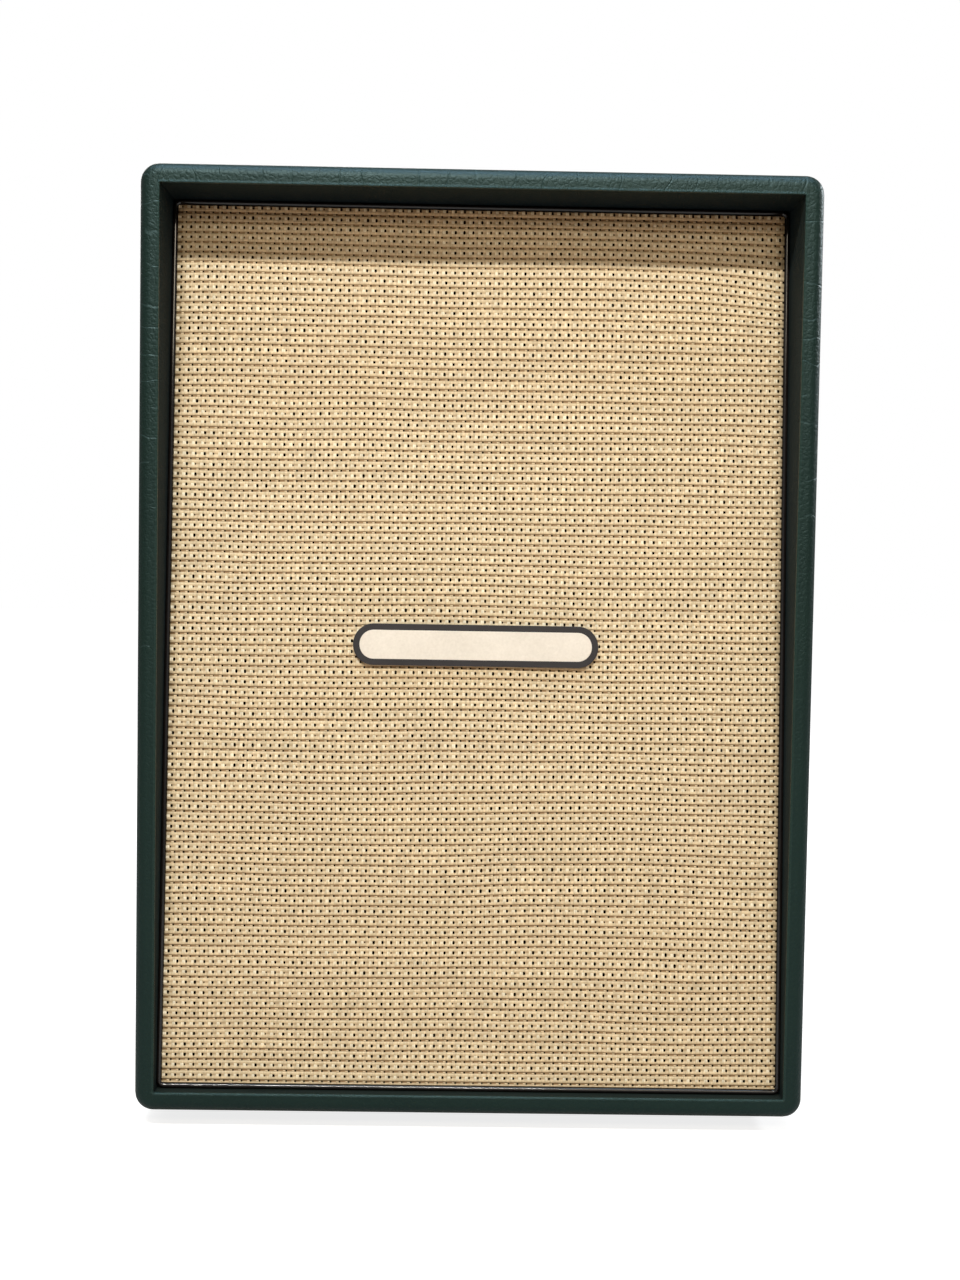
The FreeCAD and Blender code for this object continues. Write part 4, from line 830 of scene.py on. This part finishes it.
def round_outline(radius, height):
    """The corners of the screw's round section at a height."""
    angles = [2 * math.pi * side / SCREW_SIDES for side in range(SCREW_SIDES)]
    return [(radius * math.cos(angle), radius * math.sin(angle), height) for angle in angles]


def cross_outline(scale, height):
    """The twelve corners of the slot at a height."""
    near = SLOT_HALF * scale
    far = SLOT_REACH * scale
    quarter = [(far, -near), (far, near), (near, near)]
    corners = []
    for turn in range(4):
        rotation = Matrix.Rotation(turn * math.pi / 2, 2)
        corners += [(*(rotation @ Vector(corner)), height) for corner in quarter]
    return corners


def add_screw(build, place, length):
    """One screw with a domed head; its own Z points out of the surface and starts at the head's top."""
    profile = [
        (TIP, -length),
        (SHANK, POINT_LENGTH - length),
        (SHANK, -HEAD_HEIGHT),
        (SCREW_HEAD, -HEAD_HEIGHT),
    ]
    profile += [(wide * SCREW_HEAD, -below * HEAD_HEIGHT) for wide, below in DOME]
    loops = [round_outline(radius, height) for radius, height in profile]
    loops += [cross_outline(1.0, 0.0), cross_outline(SLOT_TAPER, -SLOT_DEPTH)]
    rows = [[build.verts.new(place @ Vector(point)) for point in loop] for loop in loops]
    edges = [[build.edges.new((row[i - 1], row[i])) for i in range(len(row))] for row in rows]
    for first, second in zip(edges, edges[1:]):
        bmesh.ops.bridge_loops(build, edges=first + second)
    build.faces.new(rows[-1])


def screws(node, materials):
    """Screws in the places of a node's plain ones, each pointing out of the cabinet."""
    build = bmesh.new()
    middle = Vector((0, 0, MIDDLE_HEIGHT))
    for low, high in solids_of(node):
        size = high - low
        along = max(range(3), key=lambda axis: size[axis])
        centre = (low + high) / 2
        outward = Vector((0, 0, 0))
        outward[along] = math.copysign(1, centre[along] - middle[along])
        top = centre + outward * size[along] / 2
        turn = Matrix.Rotation(chance.uniform(0, math.pi / 2), 4, "Z")
        stand = outward.to_track_quat("Z", "Y").to_matrix().to_4x4()
        add_screw(build, Matrix.Translation(top) @ stand @ turn, size[along])
    bmesh.ops.recalc_face_normals(build, faces=build.faces)
    piece = mesh_piece(node + "_slotted", [], [])
    build.to_mesh(piece.data)
    build.free()
    piece.data.set_sharp_from_angle(angle=SHARP_ANGLE)
    dress(piece, materials[slots[node]])
    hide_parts(node)


# Surrounds and spiders: pleated cloth rings between the basket and the cone, built in sectors

# Radii inwards: outer edge, start of the waves, end of the waves, inner edge
SURROUND_RADII = (0.1407, 0.1337, 0.1237, 0.1194)
SPIDER_RADII = (0.0674, 0.0517, 0.0267, 0.0227)

# Half waves, rise of the first crest, thickness of the cloth
SURROUND_PLEATS = (4, -0.0013, 0.0008)
SPIDER_PLEATS = (8, 0.0012, 0.0006)

# Fineness of the rings
RING_SECTORS = 24
SECTOR_STEPS = 4
WAVE_STEPS = 6


def pleated_profile(radii, half_waves, rise, sheet):
    """A pleated sheet's outline as (radius, lift) pairs: flat edges, and smooth waves between them."""
    outer, wave_outer, wave_inner, inner = radii
    crests = [0.0] + [rise if crest % 2 else -rise for crest in range(1, half_waves)] + [0.0]
    steps = half_waves * WAVE_STEPS
    ridge = [(outer, 0.0)]
    for step in range(steps + 1):
        crest, part = divmod(step, WAVE_STEPS)
        ease = (1 - math.cos(math.pi * part / WAVE_STEPS)) / 2
        following = crests[min(crest + 1, half_waves)]
        lift = crests[crest] + ease * (following - crests[crest])
        ridge.append((wave_outer + (wave_inner - wave_outer) * step / steps, lift))
    ridge.append((inner, 0.0))
    front = [(radius, lift - sheet / 2) for radius, lift in ridge]
    back = [(radius, lift + sheet / 2) for radius, lift in ridge]
    return front + back[::-1]


def joined(pieces):
    """One piece from several, with the points that they share made one."""
    with bpy.context.temp_override(active_object=pieces[0], selected_editable_objects=pieces):
        bpy.ops.object.join()
    build = bmesh.new()
    build.from_mesh(pieces[0].data)
    bmesh.ops.remove_doubles(build, verts=build.verts, dist=SAME_POINT)
    bmesh.ops.recalc_face_normals(build, faces=build.faces)
    build.to_mesh(pieces[0].data)
    build.free()
    return pieces[0]


def flexing_ring(speaker, part, radii, pleats, material):
    """A pleated ring built in sectors, which are joined into one piece."""
    node = speaker + "_" + part
    low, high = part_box(node)
    centre = GRILLE.inverted() @ ((Vector(low) + Vector(high)) / 2)

    def ring_point(radius, angle, lift=0.0):
        """A point of the ring from its radius, its angle and its lift."""
        return GRILLE @ (centre + Vector((radius * math.cos(angle), lift, radius * math.sin(angle))))

    profile = pleated_profile(radii, *pleats)
    count = len(profile)
    half_angle = math.pi / RING_SECTORS
    turns = [2 * step / SECTOR_STEPS - 1 for step in range(SECTOR_STEPS + 1)]
    sectors = []
    for sector in range(RING_SECTORS):
        middle = 2 * half_angle * sector
        angles = [middle + half_angle * turn for turn in turns]
        points = [ring_point(radius, angle, lift) for angle in angles for radius, lift in profile]
        faces = []
        for start in range(0, SECTOR_STEPS * count, count):
            end = start + count
            for corner in range(count):
                after = (corner + 1) % count
                faces.append((start + corner, start + after, end + after, end + corner))
        piece = mesh_piece(node + "_pleated", points, faces)
        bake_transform(piece)
        sectors.append(piece)
    ring = joined(sectors)
    ring.data.materials.append(material)
    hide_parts(node)


# Leads from the jacks to the speakers

LEAD_DIAMETER = 0.005
LEAD_STRAIGHT = 0.030
LEAD_SAG = 0.011
JACK_BACK = 0.0935
JACK_OFFSET = 0.020

# Node, side of the jack, place of the speaker's tags, length
LEADS = [
    ("upper_speaker_lead", -1, Vector((0, -0.07608, 0.41810)), 0.175),
    ("lower_speaker_lead", 1, Vector((0, -0.07969, 0.36583)), 0.180),
]


def speaker_lead(node, side, tag, material):
    """A lead from a jack, straight out, in a slack bow, and straight onto the speaker's tags."""
    jack = Vector((side * JACK_OFFSET, JACK_BACK, MIDDLE_HEIGHT))
    leaving = jack - Vector((0, LEAD_STRAIGHT, 0))
    arriving = tag + GRILLE.to_3x3() @ Vector((0, LEAD_STRAIGHT, 0))
    bow = (leaving + arriving) / 2 - Vector((0, 0, LEAD_SAG))
    route = [jack, leaving, bow, arriving, tag]
    curve = bpy.data.curves.new(node + "_cord", "CURVE")
    curve.dimensions = "3D"
    curve.bevel_depth = LEAD_DIAMETER / 2
    curve.bevel_resolution = 4
    curve.use_fill_caps = True
    spline = curve.splines.new("NURBS")
    spline.points.add(len(route) - 1)
    for point, place in zip(spline.points, route):
        point.co = (*place, 1)
    spline.order_u = 3
    spline.use_endpoint_u = True
    spline.resolution_u = 16
    piece = bpy.data.objects.new(curve.name, curve)
    bpy.context.scene.collection.objects.link(piece)
    dress(piece, material)
    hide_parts(node)


# Stage

# Name, place, target, size, power and colour of each light
LAMPS = [
    ("key", (-0.3, -2.31, 2.6), (0, -0.1, 0.45), (1.14, 0.072), 95.0, (1.0, 0.945, 0.85)),
    ("fill", (0.4, -2.2, 1.4), (0, -0.1, 0.5), (1.2, 0.4), 13.5, (1.0, 0.87, 0.68)),
    ("overhead", (0.0, -0.35, 2.1), (0, -0.15, 0.77), (1.6, 0.5), 23.5, (0.59, 0.79, 1.0)),
    ("right_edge", (2.2, 0.75, 1.5), (0.27, -0.13, 0.72), (1.0, 0.4), 34.0, (0.95, 0.98, 1.0)),
    ("rear", (-0.8, 2.6, 1.7), (0, 0.15, 0.4), (1.6, 1.0), 45.0, (1.0, 0.97, 0.93)),
]

# How bright the white background is in a gloss, and as a light on the object
AIR_MIRRORED = 0.28
FLOOR_MIRRORED = 0.1
AIR_LIGHT = 0.11

# The floor's half width, its greys to the camera, and the colour that it throws back
FLOOR_REACH = 12.0
FLOOR_DARK = (0.42, 0.42, 0.42)
FLOOR_LIGHT = (0.45, 0.45, 0.45)
FLOOR_BOUNCE = (0.53, 0.372, 0.265)

# Strength of the floor's own white near the object and far away, and the distances of both
WHITE_STRENGTH = (0.81, 1.0)
WHITE_DISTANCE = (0.5, 3.5)


def aim(place, target):
    """A turn that points an object's own -Z from one place to another."""
    return (Vector(target) - Vector(place)).to_track_quat("-Z", "Y").to_euler()


def lamp(name, place, target, size, power, colour):
    """A rectangular studio light."""
    light = bpy.data.lights.new(name, "AREA")
    light.shape = "RECTANGLE"
    light.size, light.size_y = size
    light.energy = power
    light.color = colour
    lamp_object = bpy.data.objects.new(name, light)
    lamp_object.location = place
    lamp_object.rotation_euler = aim(place, target)
    bpy.context.scene.collection.objects.link(lamp_object)


def seen_rays(tree, mirrored):
    """1 for what the camera sees, a given share for what a gloss shows, and 0 for light on objects."""
    rays = tree.nodes.new("ShaderNodeLightPath")
    gloss = tree.nodes.new("ShaderNodeMath")
    gloss.operation = "MULTIPLY"
    gloss.inputs[1].default_value = mirrored
    tree.links.new(rays.outputs["Is Glossy Ray"], gloss.inputs[0])
    share = rays.outputs["Is Camera Ray"]
    for seen in (rays.outputs["Is Transmission Ray"], gloss.outputs[0]):
        either = tree.nodes.new("ShaderNodeMath")
        either.operation = "MAXIMUM"
        tree.links.new(share, either.inputs[0])
        tree.links.new(seen, either.inputs[1])
        share = either.outputs[0]
    return share


def studio_floor():
    """A wide floor: white to the camera apart from the shadow, and warm in what it throws back."""
    signs = [(-1, -1), (1, -1), (1, 1), (-1, 1)]
    corners = [(x * FLOOR_REACH, y * FLOOR_REACH, 0) for x, y in signs]
    floor = mesh_piece("studio_floor", corners, [(0, 1, 2, 3)], smooth=False)
    sockets = {"Roughness": 0.9, "Specular IOR Level": 0.1, "Emission Color": (1, 1, 1, 1)}
    paint = Paint("pale_floor", sockets)
    bright = seen_rays(paint.tree, FLOOR_MIRRORED)
    seen = seen_rays(paint.tree, 1.0)
    tone = paint.ramp(paint.noise(3.0), [(0.3, FLOOR_DARK), (0.7, FLOOR_LIGHT)])
    away = paint.node("VectorMath", {0: paint.place}, operation="LENGTH").outputs["Value"]
    white = paint.limits(away, *WHITE_DISTANCE, *WHITE_STRENGTH)
    paint.feed(paint.shader.inputs["Emission Strength"], paint.arithmetic("MULTIPLY", bright, white))
    floor.data.materials.append(paint.finish(paint.mix(seen, FLOOR_BOUNCE, tone)))


def studio_air():
    """White to the camera, and a soft light on the object."""
    world = bpy.data.worlds.new("studio_air")
    bpy.context.scene.world = world
    world.use_nodes = True
    tree = world.node_tree
    strength = tree.nodes.new("ShaderNodeMapRange")
    strength.inputs["To Min"].default_value = AIR_LIGHT
    strength.inputs["To Max"].default_value = 1.0
    tree.links.new(seen_rays(tree, AIR_MIRRORED), strength.inputs["Value"])
    tree.links.new(strength.outputs[0], tree.nodes["Background"].inputs["Strength"])
    tree.nodes["Background"].inputs["Color"].default_value = (1, 1, 1, 1)


def photo_camera():
    """A camera with the photograph's viewing angle."""
    camera = bpy.data.cameras.new("photo_camera")
    camera.sensor_width = SENSOR
    camera.lens = FOCAL_PIXELS / PHOTO_HEIGHT * SENSOR
    camera_object = bpy.data.objects.new("photo_camera", camera)
    camera_object.location = CAMERA_PLACE
    camera_object.rotation_euler = [math.radians(angle) for angle in CAMERA_TURN]
    bpy.context.scene.collection.objects.link(camera_object)
    bpy.context.scene.camera = camera_object


def studio():
    """Floor, air, lights and camera."""
    studio_floor()
    studio_air()
    for row in LAMPS:
        lamp(*row)
    photo_camera()
    bpy.context.scene.view_settings.view_transform = "Standard"


def paint_nodes(materials):
    """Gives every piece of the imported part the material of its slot."""
    for node, slot in slots.items():
        piece = nodes[node]
        piece.data.materials.clear()
        piece.data.materials.append(materials[slot])


studio()
materials = {**case_materials(), **grille_materials(), **speaker_materials(), **fitting_materials()}
paint_nodes(materials)
grille_cloth(materials)
for screwed in ("rear_panel_screws", "jack_dish_screws", "handle_screws", "foot_screws"):
    screws(screwed, materials)
for speaker in ("upper", "lower"):
    flexing_ring(speaker, "surround", SURROUND_RADII, SURROUND_PLEATS, materials["surround"])
    flexing_ring(speaker, "spider", SPIDER_RADII, SPIDER_PLEATS, materials["spider"])
for node, side, tag, length in LEADS:
    speaker_lead(node, side, tag, materials["lead"])

bpy.context.view_layer.update()
